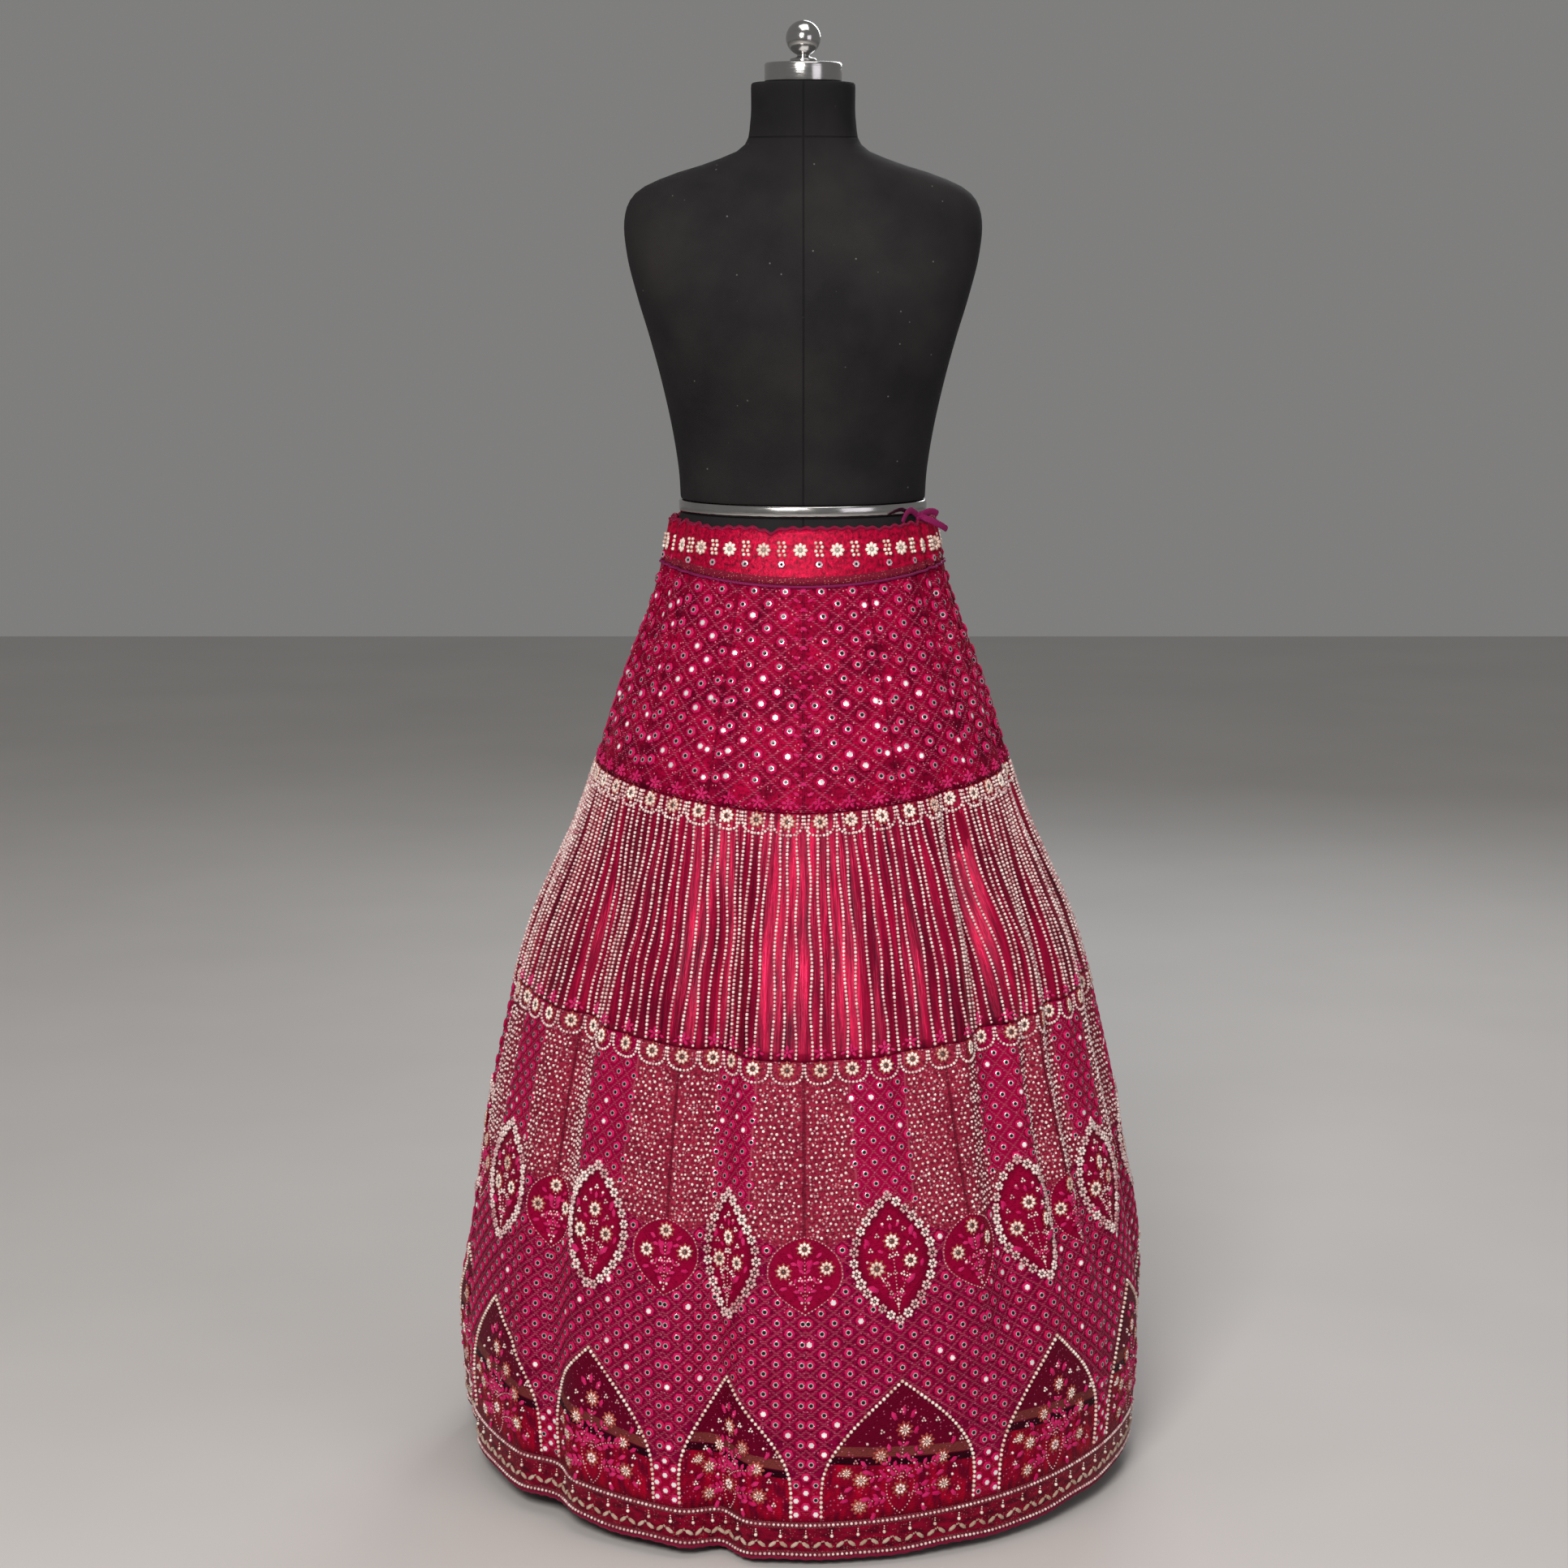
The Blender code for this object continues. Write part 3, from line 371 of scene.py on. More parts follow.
    def angle_at_seam(self, kali: Array | int, x: Array, height: Array) -> Array:
        """Cloth angle of a place x metres from the first seam of a kali."""
        return KALI_TURN * kali + x / self.metres_a_degree(height)

    def half_kali(self, height: Array) -> Array:
        """Half of a kali's width, in metres."""
        return KALI_TURN * self.metres_a_degree(height) / 2


CLOTH = Cloth()


def waist_seam(angle: Array) -> Array:
    """Height of the seam under the waistband, a little higher at the sides."""
    return WAIST_SEAM_FRONT + (WAIST_SEAM_SIDE - WAIST_SEAM_FRONT) * np.sin(np.radians(angle)) ** 2


def waist_edge(angle: Array) -> Array:
    """Height of the waistband's top edge, with its dips and the ruffle of the gathers.

    Args:
        angle: Cloth angles in degrees.

    Returns:
        One height for each angle.
    """
    drop = np.zeros_like(angle)
    for middle, half_width, depth in WAIST_DIPS:
        drop += depth * np.maximum(0.0, 1.0 - np.abs(turn_between(angle, middle)) / half_width)
    ruffle = WAIST_RUFFLE * CLOTH.gathers(angle, np.ones_like(angle)) / CLOTH.gather_depth
    return WAIST_TOP - drop + ruffle


def level(height: float) -> Edge:
    """An edge at one height all round."""
    return lambda angle: np.full_like(angle, height)


def hem_sway(angle: Array, height: Array | float) -> Array:
    """How far a line of the hem border hangs off level, most at the hem itself."""
    rise = sum(size * np.sin(np.radians(angle * count) + start) for count, start, size in HEM_WAVES)
    return rise * (BORDER_SEAM - height) / (BORDER_SEAM - HEM)


def hem_edge(angle: Array) -> Array:
    """Height of the hem."""
    return HEM + hem_sway(angle, HEM)


# ---------------------------------------------------------------- outlines of the motifs on a kali
LEAF_TOP = 0.375
LEAF_LENGTH = 0.124
LEAF_HALF_WIDTH = 0.036
LEAF_POWER = 0.85


def leaf_row(share: Array | float) -> tuple[Array, Array]:
    """Height and half width of a leaf's outline, at a share of the way down."""
    return LEAF_TOP - LEAF_LENGTH * share, LEAF_HALF_WIDTH * np.sin(np.pi * share) ** LEAF_POWER


# Half widths of a leaf, a heart and an arch: height, half width, from the top down, in millimetres
LEAF = tuple(leaf_row(share) for share in np.linspace(0, 1, 17))
HEART = metres(
    (341, 0), (337.5, 11), (331, 20.5), (322, 28.5), (311, 33), (300, 33.5), (290, 30), (280, 22),
    (271, 11), (264, 0),
)
ARCH = metres(
    (190, 0), (180, 10.5), (170, 20.5), (158, 32.5), (146, 43), (134, 52), (122, 59.5), (110, 65),
    (98, 68.5), (80, 70), (56, 69.5),
)


def half_width(outline: Rows, height: Array) -> Array:
    """Half width of an outline at each height, and a negative width above and below it.

    Args:
        outline: Rows of height and half width, from the top down.
        height: Heights in metres.

    Returns:
        Half widths in metres.
    """
    heights = [row[0] for row in outline][::-1]
    widths = [row[1] for row in outline][::-1]
    return np.interp(height, heights, widths, left=-1.0, right=-1.0)


# ---------------------------------------------------------------- finishes
class Graph:
    """A node tree being built: adds nodes and joins them."""

    prefix = ""

    def __init__(self, group: bpy.types.NodeTree) -> None:
        """Keep the node tree."""
        self.group = group

    def feed(self, socket: Socket, value: object) -> None:
        """Join a socket to the output of another node, or set it.

        Args:
            socket: The socket.
            value: The output, value, number or colour that goes into it.
        """
        source = getattr(value, "socket", value)
        if isinstance(source, Socket):
            self.group.links.new(source, socket)
        else:
            socket.default_value = (*value, 1.0) if isinstance(value, tuple) else value

    def fill(self, node: Node, **values: object) -> Node:
        """Feed a node's inputs, whose names have underscores for spaces.

        Args:
            node: The node.
            values: What goes into the inputs of these names.

        Returns:
            The same node.
        """
        for key, value in values.items():
            name = key.replace("_", " ")
            self.feed(next(socket for socket in node.inputs if socket.name == name and socket.enabled), value)
        return node

    def node(self, kind: str, *values: object, **settings: object) -> Node:
        """Add a node.

        Args:
            kind: Its type, without the prefix of this kind of tree.
            values: What goes into its first inputs.
            settings: Its properties.

        Returns:
            The new node.
        """
        node = self.group.nodes.new(self.prefix + kind)
        for key, value in settings.items():
            setattr(node, key, value)
        for socket, value in zip(node.inputs, values):
            self.feed(socket, value)
        return node


def sum_of(operation: str, swapped: bool = False) -> Callable[..., "Value"]:
    """A method that adds a Math node.

    Args:
        operation: Kind of the Math node.
        swapped: Whether the value itself comes last.

    Returns:
        The method.
    """

    def method(self: "Value", *others: "Term") -> "Value":
        """Result of the Math node."""
        return self.recipe.math(operation, *((*others, self) if swapped else (self, *others)))

    return method


class Value:
    """A value in a material's nodes, which takes part in sums and comparisons like a number."""

    def __init__(self, recipe: "Recipe", socket: Socket) -> None:
        """Keep the socket, and the recipe that adds its Math nodes."""
        self.recipe, self.socket = recipe, socket

    __add__ = sum_of("ADD")
    __sub__ = sum_of("SUBTRACT")
    __rsub__ = sum_of("SUBTRACT", swapped=True)
    __mul__ = sum_of("MULTIPLY")
    __truediv__ = sum_of("DIVIDE")
    __pow__ = sum_of("POWER")
    __gt__ = sum_of("GREATER_THAN")
    __lt__ = sum_of("LESS_THAN")
    __abs__ = sum_of("ABSOLUTE")
    sine = sum_of("SINE")
    most = sum_of("MAXIMUM")

    def wave(self, pitch: float) -> "Value":
        """A sine wave along it, with the given length of one wave."""
        return (self * (2 * math.pi / pitch)).sine()


Term = Value | float
Tint = Value | Colour


class Recipe(Graph):
    """A material being built."""

    prefix = "ShaderNode"

    def __init__(self, name: str) -> None:
        """Start a material with one Principled shader.

        Args:
            name: Name of the material.
        """
        self.material = bpy.data.materials.new(name)
        self.material.use_nodes = True
        super().__init__(self.material.node_tree)
        self.shader = self.group.nodes["Principled BSDF"]

    def math(self, operation: str, *values: Term) -> Value:
        """Result of a Math node."""
        return Value(self, self.node("Math", *values, operation=operation).outputs[0])

    def mix(self, share: Term, first: Tint, second: Tint) -> Value:
        """Colour between two colours.

        Args:
            share: How much of the second colour it has.
            first: The first colour.
            second: The second colour.

        Returns:
            The mixed colour.
        """
        node = self.node("Mix", share, data_type="RGBA")
        for index, tint in ((6, first), (7, second)):
            self.feed(node.inputs[index], tint)
        return Value(self, node.outputs[2])

    def ramp(self, value: Term, low: float, high: float, start: float = 0.0, end: float = 1.0) -> Value:
        """Value mapped from low..high to start..end, and held beyond them."""
        return Value(self, self.node("MapRange", value, low, high, start, end).outputs[0])

    def split(self, vector: Value) -> tuple[Value, ...]:
        """The three parts of a vector."""
        return tuple(Value(self, part) for part in self.node("SeparateXYZ", vector).outputs)

    def uv(self, name: str) -> tuple[Value, ...]:
        """Both coordinates of a UV map."""
        return self.split(Value(self, self.node("UVMap", uv_map=name).outputs[0]))[:2]

    def vector(self, x: Term, y: Term, z: Term = 0.0) -> Value:
        """A vector of three values."""
        return Value(self, self.node("CombineXYZ", x, y, z).outputs[0])

    def place(self) -> Value:
        """Object coordinates."""
        return Value(self, self.node("TexCoord").outputs["Object"])

    def noise(self, vector: Value, scale: float, detail: float = 3.0, rough: float = 0.55) -> Value:
        """Noise from 0 to 1."""
        node = self.fill(self.node("TexNoise"), Vector=vector, Scale=scale, Detail=detail, Roughness=rough)
        return Value(self, node.outputs[0])

    def cells(self, vector: Value, scale: float) -> tuple[Value, Value]:
        """Distance to the nearest cell's middle, and a random value for each cell."""
        node = self.fill(self.node("TexVoronoi"), Vector=vector, Scale=scale)
        return Value(self, node.outputs["Distance"]), self.split(Value(self, node.outputs["Color"]))[0]

    def attribute(self, name: str) -> Value:
        """Value of a mesh attribute."""
        return Value(self, self.node("Attribute", attribute_name=name).outputs["Fac"])

    def outline(self, height: Value, rows: Rows) -> Value:
        """Half width of an outline at a height.

        Args:
            height: The height.
            rows: Height and half width, from the top down.

        Returns:
            The half width in metres, and a negative width beyond the outline's ends.
        """
        low, high = rows[-1][0], rows[0][0]
        widest = max(row[1] for row in rows)
        node = self.node("FloatCurve")
        self.fill(node, Value=self.ramp(height, low, high))
        curve = node.mapping.curves[0]
        places = [((z - low) / (high - low), width / widest) for z, width in reversed(rows)]
        curve.points[0].location, curve.points[1].location = places[0], places[-1]
        for place in places[1:-1]:
            curve.points.new(*place)
        for point in curve.points:
            point.handle_type = "VECTOR"
        node.mapping.update()
        inside = (height > low) * (height < high)
        return Value(self, node.outputs[0]) * widest * inside - (1.0 - inside)

    def lattice(self, x: Value, height: Value, wide: float, tall: float) -> tuple[Value, Value]:
        """Distance from the lines of a diamond lattice, and a wave of dots along them.

        Args:
            x: Metres from the middle of a kali.
            height: The height.
            wide: Width of a diamond.
            tall: Height of a diamond.

        Returns:
            The distance in metres, and the dots from 0 to 1.
        """
        across, up = self.math("MULTIPLY_ADD", x, 1 / wide, 0.5), height / tall
        rising = self.math("PINGPONG", across + up, 0.5)
        falling = self.math("PINGPONG", across - up, 0.5)
        distance = self.math("MINIMUM", rising, falling) * (wide * tall / math.hypot(wide, tall))
        return distance, self.ramp(height.wave(STITCH_PITCH), -0.6, 0.6)

    def bump(self, height: Value, distance: float) -> None:
        """Send a height to the shader's normal."""
        node = self.fill(self.node("Bump"), Strength=1.0, Distance=distance, Height=height)
        self.set(Normal=Value(self, node.outputs[0]))

    def set(self, **values: Term | Tint) -> None:
        """Feed the shader's inputs, whose names have underscores for spaces."""
        self.fill(self.shader, **values)


def colour(*levels: int) -> Colour:
    """Linear colour of red, green and blue display levels from 0 to 255."""
    shares = (level / 255 for level in levels)
    return tuple(v / 12.92 if v <= 0.04045 else ((v + 0.055) / 1.055) ** 2.4 for v in shares)


def shaded(tint: Colour, share: float) -> Colour:
    """A colour at a share of its brightness."""
    return tuple(share * v for v in tint)


@dataclass(frozen=True)
class Satin:
    """Satin with upright wrinkles, with painted shade in their hollows and a painted highlight along their crests."""

    name: str
    base: Colour
    # Painted shade in the hollows of the wrinkles
    dark: Colour
    # Painted highlight along the wrinkles' crests
    light: Colour
    roughness: float = 0.36
    wrinkle: float = 0.0012

    def make(self) -> Material:
        """Build the material.

        Returns:
            The new material.
        """
        r = Recipe(self.name)
        _, height = r.uv("kali")
        _, turn = r.uv("seam")
        place = r.vector(turn * 0.17, height)
        upright = r.vector(turn * 0.9, height * 0.9)
        wide = r.noise(upright, 9.0, 3.0, 0.6)
        narrow = r.noise(r.vector(turn * 2.4, height * 1.1, 3.0), 11.0, 4.0, 0.65)
        blotch = r.noise(place, 14.0, 2.0)
        # Painted shade: darker where the wrinkles' bump is low
        tone = r.ramp(wide * 0.45 + narrow * 0.55, 0.36, 0.66)
        shade = r.mix(tone, self.dark, self.base)
        # Painted highlight along the wrinkles' crests, in patches
        painted_highlight = r.ramp(narrow, 0.56, 0.74) * r.ramp(blotch, 0.42, 0.62, 0.25, 1.0)
        shade = r.mix(painted_highlight * 0.55, shade, self.light)
        rise = narrow + wide * 0.7 + height.wave(0.0009) * 0.012
        r.set(Base_Color=shade, Roughness=r.ramp(narrow, 0.3, 0.7, self.roughness + 0.08, self.roughness - 0.06))
        r.set(Metallic=0.35, Specular_IOR_Level=0.35, Specular_Tint=(1.0, 0.35, 0.45))
        r.bump(rise, self.wrinkle)
        return r.material


@dataclass(frozen=True)
class WaistSatin:
    """Gathered satin of the waistband, with painted shade and a painted highlight on its gathers, and a woven strip
    along its lower edge.
    """

    base: Colour = colour(190, 2, 56)
    # Painted shade in the hollows of the gathers
    dark: Colour = colour(104, 1, 30)
    # Painted highlight on the gathers' crests
    light: Colour = colour(226, 36, 84)
    strip: Colour = colour(160, 36, 66)
    strip_width: float = 0.009

    def make(self) -> Material:
        """Build the material.

        Returns:
            The new material.
        """
        r = Recipe("band_satin")
        x, height = r.uv("kali")
        _, turn = r.uv("seam")
        upright = r.vector(turn * 1.6, height * 22.0)
        narrow = r.noise(upright, 9.0, 5.0, 0.66)
        # Painted shade where the gathers' bump is low, and a painted highlight on their crests
        shade = r.mix(r.ramp(narrow, 0.36, 0.6), self.dark, self.base)
        shade = r.mix(r.ramp(narrow, 0.6, 0.78, 0.0, 0.55), shade, self.light)
        edge = r.attribute("edge")
        on_strip = edge < self.strip_width
        # The strip's weave, darker in its grooves: painted shade
        braid = r.ramp((x + edge).wave(0.0022) * (x - edge).wave(0.0022), -0.6, 0.6)
        strip = r.mix(braid, shaded(self.strip, 0.45), self.strip)
        glint, cell = r.cells(r.vector(x, height), 560.0)
        speck = r.ramp(glint, 0.34, 0.22) * r.ramp(cell, 0.5, 0.7)
        strip = r.mix(speck, strip, colour(214, 140, 128))
        r.set(Base_Color=r.mix(on_strip, shade, strip), Roughness=0.36, Metallic=0.3)
        r.set(Specular_IOR_Level=0.3, Specular_Tint=(1.0, 0.4, 0.45))
        r.bump(narrow + braid * on_strip * 0.5, 0.0011)
        return r.material


@dataclass(frozen=True)
class MirrorNet:
    """Embroidered net of the upper tier: a diamond lattice of dotted thread."""

    ground: Colour = colour(164, 2, 52)
    dark: Colour = colour(86, 1, 28)
    line: Colour = colour(172, 70, 98)
    speck: Colour = colour(230, 140, 158)
    size: Pair = UPPER_LATTICE

    def make(self) -> Material:
        """Build the material.

        Returns:
            The new material.
        """
        r = Recipe("mirror_net")
        x, height = r.uv("kali")
        seam, turn = r.uv("seam")
        cloudy = r.noise(r.vector(turn, height * 8.0), 3.0, 4.0)
        ground = r.mix(r.ramp(cloudy, 0.35, 0.65), self.dark, self.ground)
        distance, dots = r.lattice(x, height, *self.size)
        line = r.ramp(distance, 0.0012, 0.0006) * dots
        leaf = r.ramp(distance, 0.0034, 0.0026) * r.ramp(r.noise(r.vector(x, height), 420.0, 1.0), 0.52, 0.6)
        ground = r.mix(leaf * 0.5, ground, colour(200, 8, 80))
        fleck = r.noise(r.vector(x, height), 300.0, 3.0, 0.7)
        ground = r.mix(r.ramp(fleck, 0.54, 0.36, 0.0, 0.8), ground, shaded(self.dark, 0.35))
        glint, cell = r.cells(r.vector(x, height), 300.0)
        speck = r.ramp(glint, 0.3, 0.18) * r.ramp(cell, 0.66, 0.8)
        join = r.ramp(seam, 0.0016, 0.0008)
        shade = r.mix(line, ground, self.line)
        shade = r.mix(speck * 0.75, shade, self.speck)
        shade = r.mix(join * 0.4, shade, colour(70, 4, 26))
        holes, _ = r.cells(r.vector(x, height), NET_HOLES)
        r.set(Base_Color=shade, Roughness=0.66 - line * 0.25)
        r.set(IOR=1.3, Specular_IOR_Level=0.2, Specular_Tint=(1.0, 0.35, 0.5))
        r.bump(line + holes * 0.25 - join * 0.7, 0.0006)
        return r.material


@dataclass(frozen=True)
class LatticeNet:
    """Net of the lower tier: beaded ground, mirror panels, leaves, hearts, a lattice and sheer arches."""

    beaded: Colour = colour(152, 38, 62)
    sparkle: Colour = colour(210, 144, 148)
    panel: Colour = colour(148, 2, 57)
    lattice: Colour = colour(132, 2, 54)
    heart: Colour = colour(142, 2, 48)
    line: Colour = colour(164, 66, 86)
    speck: Colour = colour(214, 110, 150)
    # Lining seen through the arches' net: its own dark crimson, darkened further with painted shade
    window: Colour = colour(94, 1, 31)
    tape: Colour = colour(112, 50, 46)
    satin: Colour = colour(168, 2, 38)
    # Painted shade: the gap between the lining and the facing, painted near black
    gap: Colour = colour(30, 1, 10)
    join: Colour = colour(84, 14, 30)
    join_foot: float = 0.341
    panel_foot: float = 0.372
    beaded_foot: float = 0.335
    panel_rows: Rows = ((0.512, 0.0285), (0.44, 0.0275), (0.372, 0.0265), (0.35, 0.0))

    def make(self) -> Material:
        """Build the material.

        Returns:
            The new material.
        """
        r = Recipe("lattice_net")
        x, height = r.uv("kali")
        seam, turn = r.uv("seam")
        aside = abs(x)
        cloudy = r.noise(r.vector(turn, height * 6.0), 4.0, 4.0)
        leaf = r.outline(height, LEAF) - aside
        heart = r.outline(height, HEART) - seam
        arch = r.outline(height, ARCH + ((0.049, 0.0695),)) - aside
        panel = r.outline(height, self.panel_rows) - aside
        in_leaf, in_heart, in_arch, in_panel = (r.ramp(v, -0.0004, 0.0004) for v in (leaf, heart, arch, panel))
        # beaded ground above, lattice below
        wobble = (seam * 90.0).sine() * 0.004
        above = r.ramp(height + wobble - self.beaded_foot, -0.001, 0.001)
        glint, cell = r.cells(r.vector(x, height), 330.0)
        spark = r.ramp(glint, 0.42, 0.26) * r.ramp(cell, 0.35, 0.75)
        fleck = r.noise(r.vector(x, height), 300.0, 3.0, 0.7)
        dim = r.ramp(fleck, 0.54, 0.36, 0.0, 0.8)
        beaded = r.mix(dim, r.mix(spark, self.beaded, self.sparkle), colour(66, 9, 25))
        low_distance, low_dots = r.lattice(x, height, *LOWER_LATTICE)
        top_distance, top_dots = r.lattice(x, height, *PANEL_LATTICE)
        low_line = r.ramp(low_distance, 0.0012, 0.0007) * r.ramp(low_dots, 0.0, 1.0, 0.15, 1.0)
        top_line = r.ramp(top_distance, 0.001, 0.0005) * r.ramp(top_dots, 0.0, 1.0, 0.15, 1.0)
        knots = r.ramp(r.noise(r.vector(x, height), 380.0, 1.0), 0.54, 0.62)
        leafy = r.ramp(low_distance, 0.0036, 0.0026) * knots * 0.6
        low = r.mix(dim, r.mix(leafy, self.lattice, colour(176, 8, 78)), colour(46, 0, 18))
        low = r.mix(low_line, low, self.line)
        upper_panel = r.mix(top_line, self.panel, self.line)
        shade = r.mix(in_panel, r.mix(above, low, beaded), upper_panel)
        # motif grounds
        dim_edge = r.ramp(leaf, 0.013, 0.005).most(r.ramp(fleck, 0.5, 0.34))
        motif = r.mix(dim_edge * 0.6, self.heart, shaded(self.heart, 0.3))
        speck = r.ramp(glint, 0.3, 0.18) * r.ramp(cell, 0.58, 0.74)
        shade = r.mix(speck * 0.7, shade, self.speck)
        shade = r.mix(in_leaf, shade, motif)
        inside = r.mix(r.ramp(fleck, 0.5, 0.34, 0.0, 0.6), self.heart, shaded(self.heart, 0.3))
        shade = r.mix(in_heart, shade, inside)
        shade = r.mix(in_arch, shade, self._window(r, x, height))
        between = r.ramp(height, 0.098, 0.082) * (1.0 - in_arch)
        shade = r.mix(between * 0.55, shade, self.satin)
        # dotted edges of the motifs, the panel and the seams above the hearts
        heart_edge, arch_edge = (r.ramp(abs(v), 0.0012, 0.0006) for v in (heart, arch))
        edge = heart_edge.most(arch_edge)
        panel_edge = r.ramp(abs(panel), 0.0014, 0.0008) * (height > self.panel_foot)
        edge = edge.most(panel_edge * 0.8)
        shade = r.mix(edge, shade, self.line)
        join = r.ramp(seam, 0.0018, 0.0008) * (height > self.join_foot)
        shade = r.mix(join * 0.7, shade, self.join)
        shade = r.mix(r.ramp(cloudy, 0.4, 0.66, 0.0, 0.3), shade, colour(72, 2, 26))
        shade = r.mix(speck * (in_arch * 0.5), shade, self.speck)
        holes, _ = r.cells(r.vector(x, height), NET_HOLES)
        r.set(Base_Color=shade, Roughness=0.58, IOR=1.3, Specular_IOR_Level=0.2, Specular_Tint=(1.0, 0.35, 0.5))
        lines = edge.most(low_line.most(top_line) * 0.6)
        r.bump(lines + holes * 0.22 + spark * (above * 0.6) - join, 0.0007)
        return r.material

    def _window(self, r: Recipe, x: Value, height: Value) -> Value:
        """What shows in an arch: the lining through the sheer net, darkened with painted shade, a woven tape, a gap
        painted near black as painted shade, and the satin facing at the foot, with painted shade of its folds.

        Args:
            r: The material being built.
            x: Metres from the middle of a kali.
            height: The height.

        Returns:
            Its colour.
        """
        slant = height + x * 0.12
        tape = r.ramp(slant, 0.1125, 0.1135) * r.ramp(slant, 0.1235, 0.1225)
        # Painted shade: near black in the gap below the tape, and the dark lining above it
        net = r.mix(r.ramp(slant, 0.1115, 0.1125), self.gap, self.window)
        cloudy = r.noise(r.vector(x * 3.0, height), 40.0, 3.0)
        # The facing's satin, with painted shade of its folds
        red = r.mix(r.ramp(cloudy, 0.35, 0.65), self.window, self.satin)
        return r.mix(r.ramp(slant, 0.1045, 0.1035), r.mix(tape, net, self.tape), red)


@dataclass(frozen=True)
class BorderSatin:
    """Band of the hem, with woven tapes along both edges."""

    base: Colour = colour(132, 3, 38)
    dark: Colour = colour(68, 1, 20)
    tape: Colour = colour(128, 48, 60)

    def make(self) -> Material:
        """Build the material.

        Returns:
            The new material.
        """
        r = Recipe("border_satin")
        x, height = r.uv("kali")
        _, turn = r.uv("seam")
        cloudy = r.noise(r.vector(turn * 2.0, height * 30.0), 6.0, 4.0)
        shade = r.mix(r.ramp(cloudy, 0.35, 0.62), self.dark, self.base)
        upper = r.ramp(height, 0.0428, 0.0432)
        lower = r.ramp(r.attribute("edge"), 0.0092, 0.0088)
        braid = (x + height * 0.8).wave(0.0024)
        # The tapes' weave, darker in its grooves: painted shade
        tape = r.mix(r.ramp(braid, -0.5, 0.5), shaded(self.tape, 0.4), self.tape)
        shade = r.mix(upper.most(lower), shade, tape)
        specks, cell = r.cells(r.vector(x, height), 420.0)
        spark = r.ramp(specks, 0.34, 0.22) * r.ramp(cell, 0.55, 0.75)
        shade = r.mix(spark * 0.6, shade, colour(176, 110, 104))
        r.set(Base_Color=shade, Roughness=0.5, Specular_IOR_Level=0.15, Specular_Tint=(1.0, 0.35, 0.5))
        r.bump(braid * 0.2 + spark, 0.0006)
        return r.material


@dataclass(frozen=True)
class Thread:
    """Twisted embroidery thread or cord, with a colour that varies from one motif to the next."""

    name: str
    base: Colour
    light: Colour
    roughness: float = 0.55
    twist: float = 0.0016

    def make(self) -> Material:
        """Build the material.

        Returns:
            The new material.
        """
        r = Recipe(self.name)
        x, y, z = r.split(r.place())
        slant = x + y + z
        ply = slant.wave(self.twist)
        fuzz = r.noise(r.place(), 900.0, 2.0)
        # Painted shade: darker in the grooves of the twist and where the fuzz dips
        tone = r.ramp(ply, -1.0, 1.0, 0.0, 0.6) + fuzz * 0.4
        shade = r.mix(tone, shaded(self.base, 0.6), self.base)
        shade = r.mix(r.attribute("tint") * 0.5, shade, self.light)
        r.set(Base_Color=shade, Roughness=self.roughness, Specular_IOR_Level=0.25)
        r.bump(ply * 0.6 + fuzz, 0.0004)
        return r.material


@dataclass(frozen=True)
class Pearl:
    """Beads of one colour, each a little lighter or darker, with a darker middle on flowers."""

    name: str
    light: Colour
    dark: Colour
    middle: Colour = colour(58, 34, 30)
    roughness: float = 0.22

    def make(self) -> Material:
        """Build the material.

        Returns:
            The new material.
        """
        r = Recipe(self.name)
        shade = r.mix(r.attribute("tint") ** 1.4, self.light, self.dark)
        shade = r.mix(r.attribute("tone"), shade, self.middle)
        cloud = r.noise(r.place(), 500.0, 2.0)
        shade = r.mix(r.ramp(cloud, 0.4, 0.75, 0.0, 0.25), shade, self.dark)
        r.set(Base_Color=shade, Roughness=r.ramp(cloud, 0.3, 0.7, self.roughness - 0.04, self.roughness + 0.1))
        r.set(Coat_Weight=0.35, Coat_Roughness=0.12, Metallic=0.1)
        r.bump(cloud, 0.0002)
        return r.material


@dataclass(frozen=True)
class MirrorWork:
    """Small mirrors in a silver rim and a ring of thread, told apart by the tone of each point; the glass is painted
    dark and flashing mirrors painted white, both painted reflections.
    """

    thread: Colour = colour(204, 3, 80)
    rim: Colour = colour(214, 190, 196)
    # Painted dark reflection in the mirror glass
    glass: Colour = colour(26, 12, 18)
    # Painted reflection of a lamp on mirrors that flash
    flash: Colour = colour(255, 252, 250)

    def make(self) -> Material:
        """Build the material.

        Returns:
            The new material.
        """
        r = Recipe("mirror_work")
        tone, tint, flash = (r.attribute(name) for name in ("tone", "tint", "flash"))
        on_rim = r.ramp(tone, 0.45, 0.55)
        on_glass = r.ramp(tone, 0.84, 0.88)
        stitch = r.noise(r.place(), 1300.0, 2.0)
        # The thread is darker where its stitches dip: painted shade
        thread = r.mix(r.ramp(stitch, 0.35, 0.6), shaded(self.thread, 0.35), self.thread)
        thread = r.mix(tint * 0.4, thread, colour(206, 14, 104))
        shade = r.mix(on_rim, thread, self.rim)
        # Painted reflection: the glass is painted dark
        shade = r.mix(on_glass, shade, self.glass)
        # Painted reflection of a lamp: white over rim and glass where a mirror flashes
        shade = r.mix(flash * on_rim, shade, self.flash)
        r.set(Base_Color=shade, Metallic=(on_rim - on_glass) * 0.6)
        r.set(Roughness=0.6 - on_rim * 0.38, Specular_IOR_Level=0.2)
        r.bump(stitch * (1.0 - on_rim), 0.0003)
        return r.material


